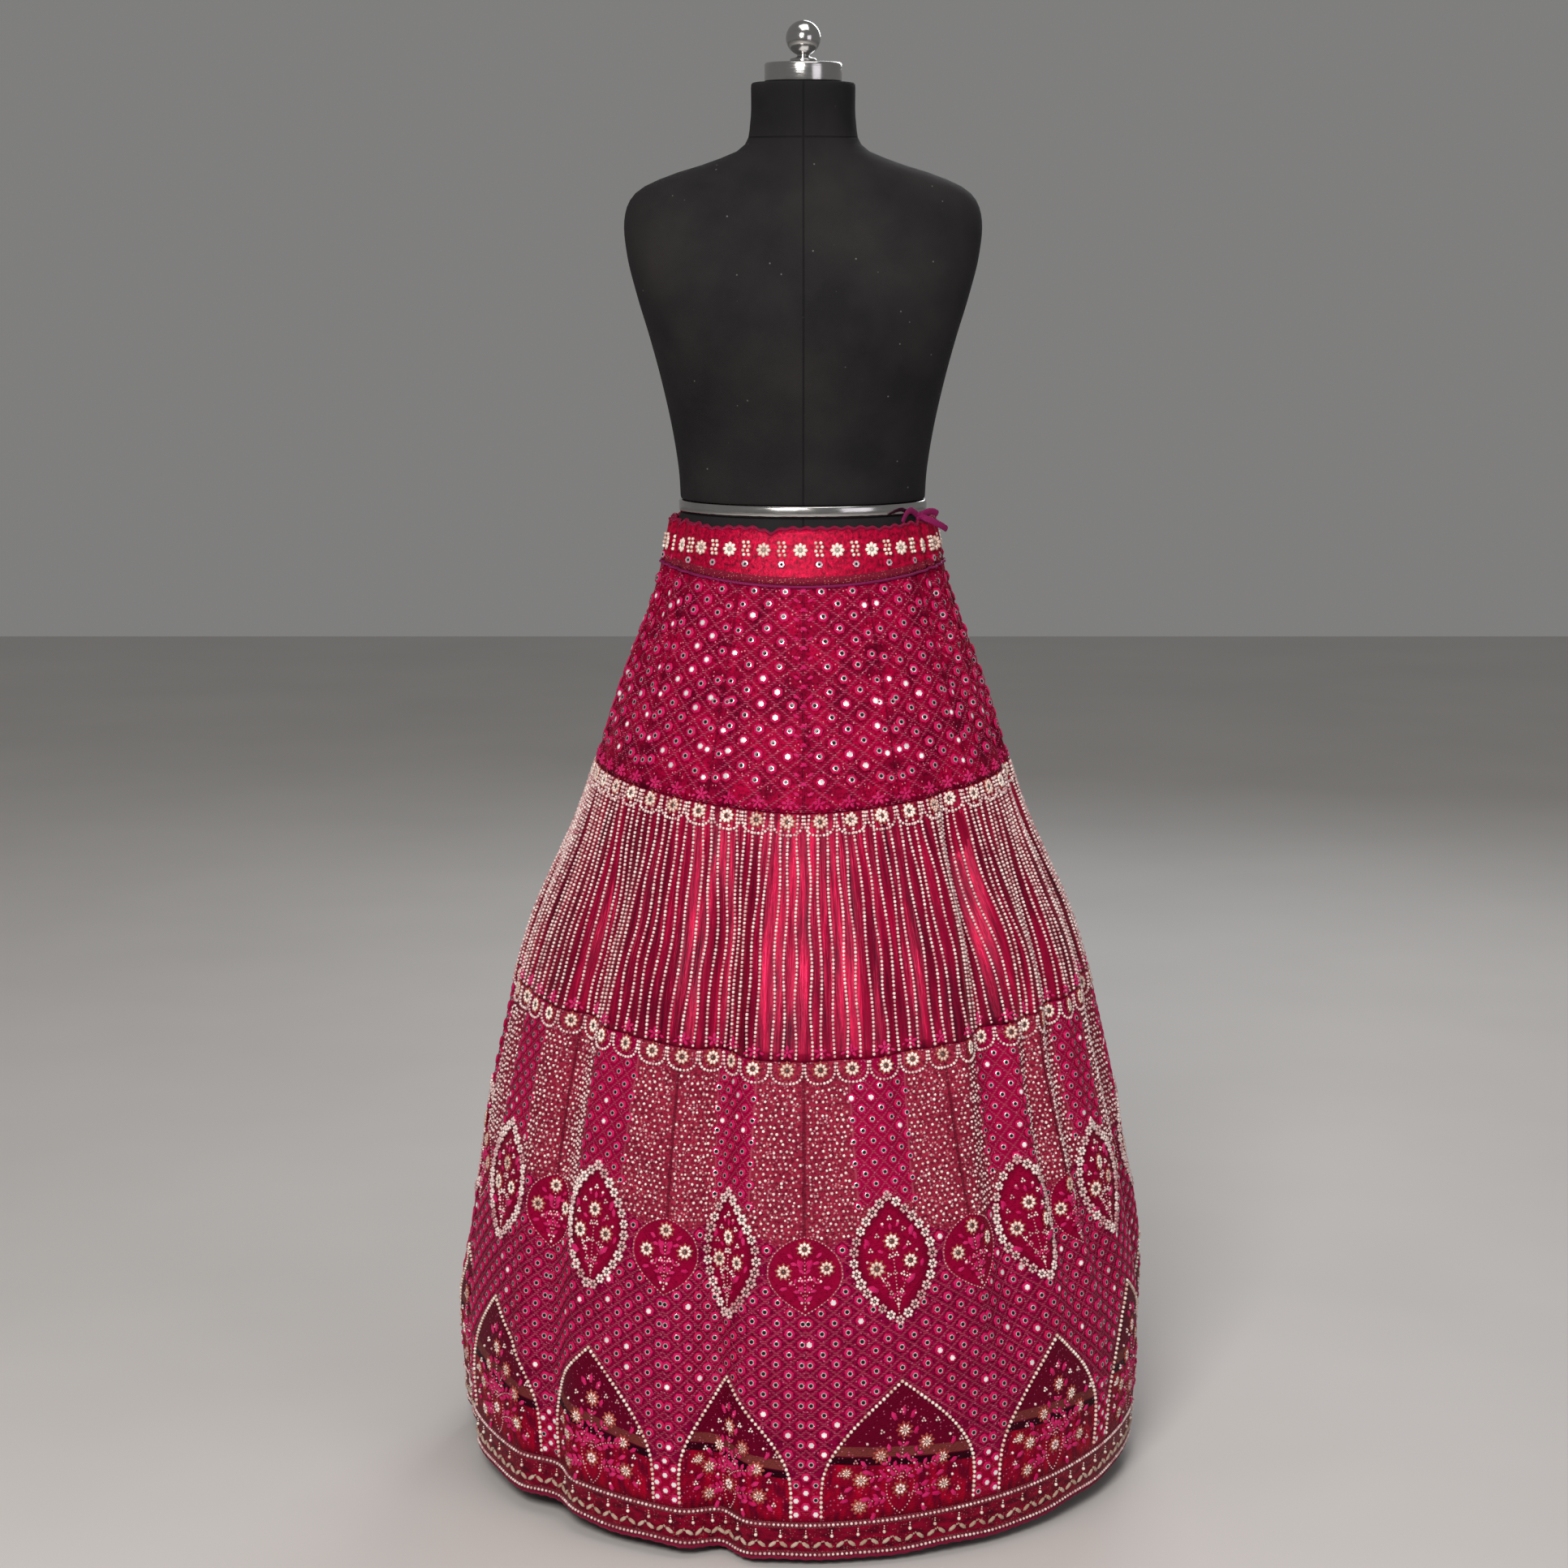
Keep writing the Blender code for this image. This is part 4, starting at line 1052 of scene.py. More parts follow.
@dataclass(frozen=True)
class Jersey:
    """Black knitted cover of the form, with sewn seams."""

    base: Colour = colour(20, 19, 20)
    worn: Colour = colour(39, 36, 37)
    seam_half_width: float = 0.0011
    neck_seam: float = 1.425

    def make(self) -> Material:
        """Build the material.

        Returns:
            The new material.
        """
        r = Recipe("black_jersey")
        place = r.place()
        x, y, z = r.split(place)
        turn = r.math("ARCTAN2", x, y)
        knit = (turn * 520.0).sine() * z.wave(0.0016)
        cloud = r.noise(place, 9.0, 5.0)
        lint, cell = r.cells(place, 90.0)
        speck = r.ramp(lint, 0.1, 0.05) * r.ramp(cell, 0.8, 0.82)
        shade = r.mix(r.ramp(cloud, 0.35, 0.75), self.base, self.worn)
        shade = r.mix(speck * 0.35, shade, colour(150, 146, 146))
        centre = r.ramp(abs(x), self.seam_half_width, self.seam_half_width * 0.4)
        neck = r.ramp(abs(z - self.neck_seam), self.seam_half_width, self.seam_half_width * 0.4)
        seam = centre.most(neck)
        shade = r.mix(seam * 0.7, shade, colour(10, 9, 10))
        r.set(Base_Color=shade, Roughness=0.82, Specular_IOR_Level=0.2)
        rise = knit * 0.18 - seam * 2.0
        r.bump(rise, 0.0005)
        return r.material


@dataclass(frozen=True)
class Metal:
    """Polished or painted metal with fine scratches and smudges."""

    name: str
    base: Colour
    roughness: float
    metallic: float

    def make(self) -> Material:
        """Build the material.

        Returns:
            The new material.
        """
        r = Recipe(self.name)
        place = r.place()
        smudge = r.noise(place, 22.0, 5.0)
        x, y, z = r.split(place)
        scratch = r.noise(r.vector(x, y, z * 14.0), 60.0, 2.0)
        r.set(Base_Color=r.mix(r.ramp(smudge, 0.35, 0.75), self.base, shaded(self.base, 0.82)))
        tone = smudge * 0.6 + scratch * 0.4
        r.set(Metallic=self.metallic, Roughness=r.ramp(tone, 0.35, 0.65, self.roughness, self.roughness + 0.12))
        r.bump(scratch, 0.00008)
        return r.material


@dataclass(frozen=True)
class PaleFloor:
    """Matt pale floor."""

    base: Colour = (0.62, 0.6, 0.58)

    def make(self) -> Material:
        """Build the material.

        Returns:
            The new material.
        """
        r = Recipe("pale_floor")
        cloud = r.noise(r.place(), 1.5, 3.0)
        r.set(Base_Color=r.mix(r.ramp(cloud, 0.3, 0.7), self.base, shaded(self.base, 0.93)), Roughness=0.7)
        return r.material


# ---------------------------------------------------------------- meshes
def add_piece(name: str, points: Array, faces: Sequence, material: Material, slot: Slot) -> Item:
    """Add a smooth mesh object that rides with the part.

    Args:
        name: Name of the piece.
        points: Its points, in metres.
        faces: Its faces, as rows of point numbers.
        material: Its finish.
        slot: The record's slot of that finish.

    Returns:
        The new object.
    """
    mesh = bpy.data.meshes.new(name)
    mesh.from_pydata([tuple(p) for p in points], [], [tuple(int(i) for i in f) for f in faces])
    mesh.materials.append(material)
    mesh.shade_smooth()
    return place_piece(name, mesh, slot)


def place_piece(name: str, mesh: bpy.types.Mesh, slot: Slot) -> Item:
    """Put a mesh in the scene as a piece that rides with the part.

    Args:
        name: Name of the piece.
        mesh: Its mesh.
        slot: The record's slot of its finish; not used.

    Returns:
        The new object.
    """
    item = bpy.data.objects.new(name, mesh)
    bpy.context.scene.collection.objects.link(item)
    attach(item, "root")
    return item


def tube_faces(rings: int, sides: int, closed: bool) -> list[tuple[int, ...]]:
    """Faces of a tube of rings of points, with flat ends or closed into a loop.

    Args:
        rings: How many rings there are.
        sides: Points in each ring.
        closed: Whether the last ring joins the first.

    Returns:
        The faces, as rows of point numbers.
    """
    faces = []
    for i in range(rings if closed else rings - 1):
        near, far = i * sides, (i + 1) % rings * sides
        faces += [(near + k, near + (k + 1) % sides, far + (k + 1) % sides, far + k) for k in range(sides)]
    if not closed:
        faces += [tuple(range(sides))[::-1], tuple(range((rings - 1) * sides, rings * sides))]
    return faces


@dataclass
class Motif:
    """A small closed shape, lying in x and y with z out of the cloth, with a tone at each point."""

    points: list[Point] = field(default_factory=list)
    faces: list[tuple[int, ...]] = field(default_factory=list)
    tones: list[float] = field(default_factory=list)

    def dome(
        self,
        rings: Sequence[tuple[float, float, float]],
        top: Pair,
        sides: int = 6,
        centre: Pair = (0.0, 0.0),
        stretch: Pair = (1.0, 1.0),
        turn: float = 0.0,
    ) -> "Motif":
        """Add a closed dome.

        Args:
            rings: Radius, height and tone of each ring, from the base up.
            top: Height and tone of the middle of the top.
            sides: Number of sides.
            centre: Where its middle is.
            stretch: How far it is stretched across and up, before it is turned.
            turn: Degrees it is turned.

        Returns:
            The motif itself.
        """
        start = len(self.points)
        cosine, sine = math.cos(math.radians(turn)), math.sin(math.radians(turn))
        for radius, height, tone in rings:
            for k in range(sides):
                angle = 2 * math.pi * k / sides
                x, y = radius * math.cos(angle) * stretch[0], radius * math.sin(angle) * stretch[1]
                self.points.append((centre[0] + x * cosine - y * sine, centre[1] + x * sine + y * cosine, height))
                self.tones.append(tone)
        self.points.append((*centre, top[0]))
        self.tones.append(top[1])
        self.faces.append(tuple(range(start, start + sides))[::-1])
        for i in range(len(rings) - 1):
            low, high = start + i * sides, start + (i + 1) * sides
            self.faces += [(low + k, low + (k + 1) % sides, high + (k + 1) % sides, high + k) for k in range(sides)]
        last, apex = start + (len(rings) - 1) * sides, len(self.points) - 1
        self.faces += [(last + k, last + (k + 1) % sides, apex) for k in range(sides)]
        return self

    def bead(self, radius: float, height: float, tone: float = 0.0, **options: object) -> "Motif":
        """Add a rounded bead."""
        return self.dome(((radius, -0.0003, tone), (radius * 0.92, height * 0.55, tone)), (height, tone), **options)

    def petals(
        self, count: int, reach: float, radius: float, long: float, height: float, **options: object
    ) -> "Motif":
        """Add petals all round the middle, the first one up.

        Args:
            count: How many petals.
            reach: How far out their middles are.
            radius: Half of their width.
            long: Length for a width of one.
            height: How far they stand out.
            options: More settings of each bead.

        Returns:
            The motif itself.
        """
        for k in range(count):
            turn = 90.0 + 360.0 * k / count
            at = (reach * math.cos(math.radians(turn)), reach * math.sin(math.radians(turn)))
            self.bead(radius, height, centre=at, stretch=(long, 1.0), turn=turn, **options)
        return self

    def make(self, name: str) -> Item:
        """Make it an object that the sewing copies.

        Args:
            name: Name of the object.

        Returns:
            The new object.
        """
        mesh = bpy.data.meshes.new(name)
        mesh.from_pydata(self.points, [], self.faces)
        mesh.shade_smooth()
        mesh.attributes.new("tone", "FLOAT", "POINT").data.foreach_set("value", self.tones)
        item = bpy.data.objects.new(name, mesh)
        bpy.context.scene.collection.objects.link(item)
        return item


@dataclass
class Places:
    """Places on the cloth where a motif is sewn.

    Spin is in degrees about the way out of the cloth, and size is a share of the motif's own size.
    """

    angle: Array
    height: Array
    spin: Array | float = 0.0
    size: Array | float = 1.0
    out: Array | float = 0.0
    flash: Array | float = 0.0

    def spread(self, value: Array | float) -> Array:
        """One value for each place."""
        return np.broadcast_to(np.asarray(value, float), np.shape(self.angle)).ravel()

    def guide(self) -> bpy.types.Mesh:
        """A mesh of loose points with the way each one faces.

        Returns:
            The new mesh.
        """
        angle, height = self.spread(self.angle), self.spread(self.height)
        across, up, out = CLOTH.directions(angle, height)
        points = CLOTH.point(angle, height) + out * self.spread(self.out)[:, None]
        turn = np.radians(self.spread(self.spin))[:, None]
        x = across * np.cos(turn) + up * np.sin(turn)
        y = up * np.cos(turn) - across * np.sin(turn)
        mesh = bpy.data.meshes.new("guide")
        mesh.from_pydata(points.tolist(), [], [])
        facing = mesh.attributes.new("facing", "QUATERNION", "POINT")
        facing.data.foreach_set("value", quaternions(x, y, out).ravel())
        size = np.repeat(self.spread(self.size), 3)
        mesh.attributes.new("size", "FLOAT_VECTOR", "POINT").data.foreach_set("vector", size)
        mesh.attributes.new("flash", "FLOAT", "POINT").data.foreach_set("value", self.spread(self.flash))
        return mesh


def quaternions(x: Array, y: Array, z: Array) -> Array:
    """Quaternions that turn the axes to the given unit directions.

    Args:
        x: Directions of the x axis.
        y: Directions of the y axis.
        z: Directions of the z axis.

    Returns:
        One quaternion in each row.
    """
    w2 = np.maximum(1 + x[:, 0] + y[:, 1] + z[:, 2], 0)
    x2 = np.maximum(1 + x[:, 0] - y[:, 1] - z[:, 2], 0)
    y2 = np.maximum(1 - x[:, 0] + y[:, 1] - z[:, 2], 0)
    z2 = np.maximum(1 - x[:, 0] - y[:, 1] + z[:, 2], 0)
    parts = np.sqrt(np.stack([w2, x2, y2, z2], axis=-1)) / 2
    parts[:, 1] = np.copysign(parts[:, 1], y[:, 2] - z[:, 1])
    parts[:, 2] = np.copysign(parts[:, 2], z[:, 0] - x[:, 2])
    parts[:, 3] = np.copysign(parts[:, 3], x[:, 1] - y[:, 0])
    return parts / np.linalg.norm(parts, axis=-1, keepdims=True)


class Tree(Graph):
    """A Geometry Nodes tree being built, with named inputs."""

    def __init__(self, name: str) -> None:
        """Start a tree with a geometry input and output.

        Args:
            name: Name of the tree.
        """
        super().__init__(bpy.data.node_groups.new(name, "GeometryNodeTree"))
        self.group.interface.new_socket("Geometry", in_out="OUTPUT", socket_type="NodeSocketGeometry")
        self.identifiers: dict[str, str] = {}
        self.start = self.group.nodes.new("NodeGroupInput")
        self.end = self.group.nodes.new("NodeGroupOutput")

    def input(self, name: str, kind: str) -> Socket:
        """Add a named input and return its socket.

        Args:
            name: Name of the input.
            kind: Type of its socket.

        Returns:
            The input's socket.
        """
        item = self.group.interface.new_socket(name, in_out="INPUT", socket_type=f"NodeSocket{kind}")
        self.identifiers[name] = item.identifier
        return self.start.outputs[name]

    def named(self, name: str, kind: str) -> Socket:
        """Value of a named attribute.

        Args:
            name: Name of the attribute.
            kind: Type of its data.

        Returns:
            Its socket.
        """
        node = self.fill(self.node("GeometryNodeInputNamedAttribute", data_type=kind), Name=name)
        return next(s for s in node.outputs if s.enabled)

    def random(self, low: float, high: float, seed: Socket) -> Socket:
        """A random value for each instance.

        Args:
            low: Lowest value.
            high: Highest value.
            seed: Seed of the choice.

        Returns:
            Its socket.
        """
        node = self.fill(self.node("FunctionNodeRandomValue", data_type="FLOAT"), Min=low, Max=high, Seed=seed)
        return next(s for s in node.outputs if s.enabled)

    def sew(self, points: Socket, rotation: Socket, scale: Socket) -> None:
        """End the tree: the motif on each point, a random tint, real geometry and its finish.

        Args:
            points: Points that the motif is sewn on.
            rotation: How it is turned on each.
            scale: How large it is on each.
        """
        motif = self.node("GeometryNodeObjectInfo")
        self.fill(motif, Object=self.input("Motif", "Object"))
        seed = self.input("Seed", "Int")
        instances, shape = self.node("GeometryNodeInstanceOnPoints"), motif.outputs["Geometry"]
        self.fill(instances, Points=points, Instance=shape, Rotation=rotation, Scale=scale)
        tint = self.node("GeometryNodeStoreNamedAttribute", data_type="FLOAT", domain="INSTANCE")
        self.fill(tint, Geometry=instances.outputs[0], Name="tint", Value=self.random(0.0, 1.0, seed))
        real = self.fill(self.node("GeometryNodeRealizeInstances"), Geometry=tint.outputs[0])
        finish, material = self.node("GeometryNodeSetMaterial"), self.input("Finish", "Material")
        self.fill(finish, Geometry=real.outputs[0], Material=material)
        self.feed(self.end.inputs[0], finish.outputs[0])


class Sewing:
    """Sews motifs to the cloth: on single places, or along lines at an even pitch."""

    def __init__(self) -> None:
        """Build both trees."""
        tree = self.places_tree = Tree("sewn_on")
        points = tree.input("Geometry", "Geometry")
        tree.sew(points, tree.named("facing", "QUATERNION"), tree.named("size", "FLOAT_VECTOR"))
        tree = self.rows_tree = Tree("bead_rows")
        lines = tree.fill(tree.node("GeometryNodeMeshToCurve"), Mesh=tree.input("Geometry", "Geometry"))
        spaced = tree.node("GeometryNodeResampleCurve", mode="LENGTH")
        tree.fill(spaced, Curve=lines.outputs[0], Length=tree.input("Pitch", "Float"))
        facing = tree.node("FunctionNodeAlignRotationToVector", axis="Z")
        tree.fill(facing, Vector=tree.named("away", "FLOAT_VECTOR"))
        spread = tree.random(0.9, 1.1, tree.input("Size seed", "Int"))
        tree.sew(spaced.outputs[0], facing.outputs[0], spread)

    def on_places(
        self, name: str, places: Sequence[Places], motif: Motif, material: Material, slot: Slot, seed: int = 1
    ) -> Item:
        """Sew a motif on each place.

        Args:
            name: Name of the piece.
            places: Where the motif is sewn.
            motif: The shape.
            material: Its finish.
            slot: The record's slot of that finish.
            seed: Seed of the random tint.

        Returns:
            One piece with all of them.
        """
        keys = ("angle", "height", "spin", "size", "out", "flash")
        merged = Places(*(np.concatenate([p.spread(getattr(p, key)) for p in places]) for key in keys))
        inputs = {"Motif": motif.make("motif"), "Seed": seed, "Finish": material}
        return self._finish(name, merged.guide(), self.places_tree, inputs, slot)

    def on_lines(
        self,
        name: str,
        lines: Sequence[tuple[Array, Array]],
        pitch: float,
        motif: Motif,
        material: Material,
        slot: Slot,
        out: float = 0.0,
        seed: int = 1,
    ) -> Item:
        """Sew a motif along lines on the cloth.

        Args:
            name: Name of the piece.
            lines: Cloth angles and heights of each line's points.
            pitch: Distance from one motif to the next.
            motif: The shape.
            material: Its finish.
            slot: The record's slot of that finish.
            out: How far out of the cloth the lines run.
            seed: Seed of the random tint and size.

        Returns:
            One piece with all of them.
        """
        angle = np.concatenate([line[0] for line in lines])
        height = np.concatenate([line[1] for line in lines])
        _, _, away = CLOTH.directions(angle, height)
        points = CLOTH.point(angle, height) + away * out
        starts = np.cumsum([0] + [len(line[0]) for line in lines])
        edges = [(i, i + 1) for a, b in zip(starts, starts[1:]) for i in range(a, b - 1)]
        mesh = bpy.data.meshes.new("guide")
        mesh.from_pydata(points.tolist(), edges, [])
        mesh.attributes.new("away", "FLOAT_VECTOR", "POINT").data.foreach_set("vector", away.ravel())
        inputs = {
            "Motif": motif.make("motif"), "Seed": seed, "Size seed": seed + 7, "Pitch": pitch, "Finish": material
        }
        return self._finish(name, mesh, self.rows_tree, inputs, slot)

    @staticmethod
    def _finish(name: str, guide: bpy.types.Mesh, tree: Tree, inputs: dict[str, object], slot: Slot) -> Item:
        """Run a tree on a guide and keep its result as a plain mesh.

        Args:
            name: Name of the piece.
            guide: The mesh that the tree runs on.
            tree: The tree.
            inputs: Values of the tree's inputs.
            slot: The record's slot of its finish.

        Returns:
            The piece.
        """
        carrier = bpy.data.objects.new("carrier", guide)
        bpy.context.scene.collection.objects.link(carrier)
        modifier = carrier.modifiers.new("sewing", "NODES")
        modifier.node_group = tree.group
        for key, value in inputs.items():
            modifier[tree.identifiers[key]] = value
        graph = bpy.context.evaluated_depsgraph_get()
        sewn = carrier.evaluated_get(graph)
        mesh = bpy.data.meshes.new_from_object(sewn, preserve_all_data_layers=True, depsgraph=graph)
        mesh.name = name
        bpy.data.objects.remove(carrier, do_unlink=True)
        bpy.data.objects.remove(inputs["Motif"], do_unlink=True)
        log.info("%s: %d triangles", name, sum(len(p.vertices) - 2 for p in mesh.polygons))
        return place_piece(name, mesh, slot)


@dataclass
class Shell:
    """A closed wall of cloth all round the skirt, between two edges."""

    name: str
    top: Edge
    bottom: Edge
    rows: int
    inner_rows: int = 4
    wall: float = 0.002
    out: float = 0.0
    columns: int = KALIS * 34

    def build(self, material: Material, slot: Slot) -> Item:
        """Build the wall, with its patterns laid out on it.

        Args:
            material: Its finish.
            slot: The record's slot of that finish.

        Returns:
            The piece.
        """
        angle = 360.0 * np.arange(self.columns + 1) / self.columns
        grids, heights = [], []
        for rows, out in ((self.rows, self.out), (self.inner_rows, self.out - self.wall)):
            share = np.linspace(0.0, 1.0, rows + 1)[:, None]
            height = self.top(angle)[None, :] * (1 - share) + self.bottom(angle)[None, :] * share
            grids.append(CLOTH.point(angle[None, :-1], height[:, :-1], out).reshape(-1, 3))
            heights.append(height)
        faces, corners = self._faces(heights)
        mesh = bpy.data.meshes.new(self.name)
        mesh.from_pydata(np.concatenate(grids).tolist(), [], faces)
        mesh.materials.append(material)
        mesh.shade_smooth()
        self._lay_out(mesh, np.array(corners), angle)
        item = place_piece(self.name, mesh, slot)
        log.info("%s: %d triangles", self.name, 2 * len(faces))
        return item

    def _faces(self, heights: list[Array]) -> tuple[list, list]:
        """Faces of the wall, and the column, height and face column of each corner.

        Args:
            heights: Heights of the outer and inner grid.

        Returns:
            The faces, and the list of corners.
        """
        count = self.columns
        faces, corners = [], []

        def add(*cells: tuple[int, int, int]) -> None:
            """Add a face of (side, row, column) corners."""
            first = min(cell[2] for cell in cells)
            for side, row, column in cells:
                corners.append((column, heights[side][row, column], first))
            starts = (0, (self.rows + 1) * count)
            faces.append(tuple(starts[s] + row * count + column % count for s, row, column in cells))

        for c in range(count):
            for i in range(self.rows):
                add((0, i, c), (0, i + 1, c), (0, i + 1, c + 1), (0, i, c + 1))
            for i in range(self.inner_rows):
                add((1, i, c), (1, i, c + 1), (1, i + 1, c + 1), (1, i + 1, c))
            add((0, 0, c), (0, 0, c + 1), (1, 0, c + 1), (1, 0, c))
            last, inner = self.rows, self.inner_rows
            add((0, last, c), (1, inner, c), (1, inner, c + 1), (0, last, c + 1))
        return faces, corners

    def _lay_out(self, mesh: bpy.types.Mesh, corners: Array, angles: Array) -> None:
        """Write the two UV maps, and the distance from the lower edge.

        Args:
            mesh: The mesh of the wall.
            corners: Column, height and face column of each corner.
            angles: Cloth angle of each column.
        """
        column, height, first = corners[:, 0].astype(int), corners[:, 1], corners[:, 2]
        angle = angles[column]
        kali = np.floor(first * KALIS / self.columns)
        x = (angle - KALI_TURN * (kali + 0.5)) * CLOTH.metres_a_degree(height)
        seam = CLOTH.half_kali(height) - np.abs(x)
        for name, u, v in (("kali", x, height), ("seam", seam, angle / KALI_TURN)):
            layer = mesh.uv_layers.new(name=name)
            layer.data.foreach_set("uv", np.stack([u, v], axis=-1).astype(np.float32).ravel())
        edge = mesh.attributes.new("edge", "FLOAT", "CORNER")
        edge.data.foreach_set("value", (height - self.bottom(angle)).astype(np.float32))


# ---------------------------------------------------------------- motifs
PEARL = Motif().bead(0.002, 0.003)
LINE_BEAD = Motif().bead(0.00178, 0.0027, sides=5)
DOT = Motif().bead(0.0017, 0.0022, sides=5)
SEED_BEAD = Motif().bead(0.0017, 0.0023, sides=5)
PEARL_TRIO = Motif()
for spot in ((0.0, 0.0016), (-0.0015, -0.001), (0.0015, -0.001)):
    PEARL_TRIO.bead(0.0014, 0.0022, centre=spot, sides=4)
RING_FLOWER = Motif().petals(9, 0.005, 0.0019, 1.35, 0.0026, sides=5).bead(0.0029, 0.0016, tone=1.0, sides=6)
HALO = Motif().petals(9, 0.0076, 0.0018, 1.3, 0.0011, sides=4).bead(0.007, 0.001, sides=9)
VASE_FLOWER = Motif().petals(7, 0.0038, 0.0017, 1.25, 0.0029, sides=5).bead(0.0015, 0.0028, tone=0.6, sides=5)
STAR_FLOWER = Motif().petals(8, 0.0038, 0.0011, 2.6, 0.0021, sides=4).bead(0.0017, 0.0026, tone=0.55, sides=5)
LEAF_FLOWER = Motif().petals(6, 0.0036, 0.0019, 1.15, 0.0028, sides=5).bead(0.0014, 0.002, tone=0.75, sides=4)
BAND_FLOWER = Motif().petals(8, 0.0049, 0.0022, 1.45, 0.0026, sides=6).bead(0.0024, 0.0026, tone=0.6, sides=6)
BUD = (
    Motif()
    .petals(5, 0.0042, 0.0018, 1.9, 0.002, sides=6)
    .bead(0.0019, 0.0028, sides=5)
    .bead(0.0015, 0.0018, centre=(-0.0088, -0.0024), stretch=(2.0, 1.0), turn=24.0, sides=5)
    .bead(0.0015, 0.0018, centre=(0.0088, -0.0024), stretch=(2.0, 1.0), turn=-24.0, sides=5)
)
THREAD_LEAF = Motif().bead(0.0021, 0.0015, stretch=(2.0, 1.0), turn=90.0, sides=5, centre=(0.0, 0.0044))
STEM_BEAD = Motif().bead(0.001, 0.0014, sides=5)
VINE_LEAF = (
    Motif()
    .dome(((0.0023, -0.0003, 0.0), (0.0021, 0.0012, 0.0), (0.0008, 0.002, 0.0)), (0.0021, 0.0), stretch=(2.35, 1.0))
    .bead(0.001, 0.0018, centre=(-0.0062, 0.0), sides=5)
)
PEARL_DROP = (
    Motif()
    .bead(0.002, 0.003)
    .bead(0.0009, 0.0014, centre=(0.0, 0.0036), sides=5)
    .bead(0.0009, 0.0014, centre=(0.0, 0.006), sides=5)
)


@dataclass(frozen=True)
class Stem:
    """A curved stem with leaves on both sides, in millimetres off the motif's middle and up."""

    foot: Pair
    bend: Pair
    tip: Pair
    leaves: int = 0
    leaf_size: float = 1.0

    def at(self, share: Array | float) -> tuple[Array | float, Array | float]:
        """Place at a share of the way from the foot to the tip."""
        a, b, c = (1 - share) ** 2, 2 * share * (1 - share), share**2
        return tuple(a * p + b * q + c * r for p, q, r in zip(self.foot, self.bend, self.tip))

    def leaf_rows(self) -> list[tuple[float, float, float, float]]:
        """Place, spin and size of each of its leaves.

        Returns:
            Rows of x, height, spin and size.
        """
        rows = []
        for i in range(self.leaves):
            share = (i + 0.7) / (self.leaves + 0.6)
            (x, height), (ahead_x, ahead_height) = self.at(share), self.at(share + 0.02)
            way = math.degrees(math.atan2(x - ahead_x, ahead_height - height))
            rows += [(x, height, way + side * 48.0, self.leaf_size * (1.0 - 0.25 * share)) for side in (-1, 1)]
        return rows


@dataclass(frozen=True)
class Bouquet:
    """What is sewn inside one motif: rows of x and height in millimetres, spin and size, and stems."""

    flowers: Rows
    trios: Rows
    pearls: Rows
    leaves: Rows
    stems: tuple[Stem, ...]

    def leaf_rows(self) -> Rows:
        """Rows of all its leaves, loose and on stems."""
        return self.leaves + tuple(row for stem in self.stems for row in stem.leaf_rows())


LEAF_BOUQUET = Bouquet(
    flowers=((0, 330), (-16, 304.5, 0, 1.08), (15, 308.5, 0, 0.96)),
    trios=(
        (-13, 337, 0), (12, 341, 20), (15, 325.5, 0), (-2.8, 315.5, 10), (3.2, 316.8, -10),
        (-5.8, 297.5, 30), (0, 299, 0), (7, 297, -30), (-11.2, 293.5, 50), (11.8, 293.5, -50),
        (-7.8, 288, 0), (-5.2, 279, 0), (4, 280, 0), (-20, 323, 0), (0, 353, 0),
    ),
    pearls=((0, 272), (0, 267), (-7, 348), (7.8, 349), (22, 318), (-24, 312)),
    leaves=(
        (-15, 281, 62, 1.75), (8, 286, -52, 1.75), (17.5, 332, -16, 1.5), (-20, 327, 30, 1.2),
        (-25, 324, -10, 1), (23, 327, 10, 1.2), (0, 340, 0, 1), (-5.5, 343, 30, 0.9), (5.5, 343, -30, 0.9),
        (-8, 319, 60, 0.9), (8.5, 320, -60, 0.9), (24, 300, -20, 1.1),
    ),
    stems=(
        Stem((0, 258), (0, 290), (0, 322)), Stem((0, 264), (-6, 282), (-13, 296), 2, 0.8),
        Stem((0, 264), (6, 284), (12, 300), 2, 0.8),
    ),
)
HEART_BOUQUET = Bouquet(
    flowers=((0, 329, 0, 0.95), (-19, 306, 0, 0.95), (19.5, 309.5, 0, 0.95)),
    trios=((-4, 299, 0), (4.5, 300, 0)),
    pearls=((0, 270), (-3, 276), (3, 276), (-13, 295), (14, 297)),
    leaves=(
        (-2.5, 307.5, 20, 1.5), (2.5, 307.5, -20, 1.5), (-10, 319, 50, 1), (10, 320, -50, 1),
        (-15, 290, 100, 1.1), (15.5, 291, -100, 1.1), (-6, 313, 75, 1), (6.5, 314, -75, 1),
    ),
    stems=(
        Stem((0, 269), (0, 298), (0, 320), 5, 1.2), Stem((0, 280), (-7, 292), (-14, 299), 2, 1),
        Stem((0, 280), (7, 293), (14, 302), 2, 1),
    ),
)
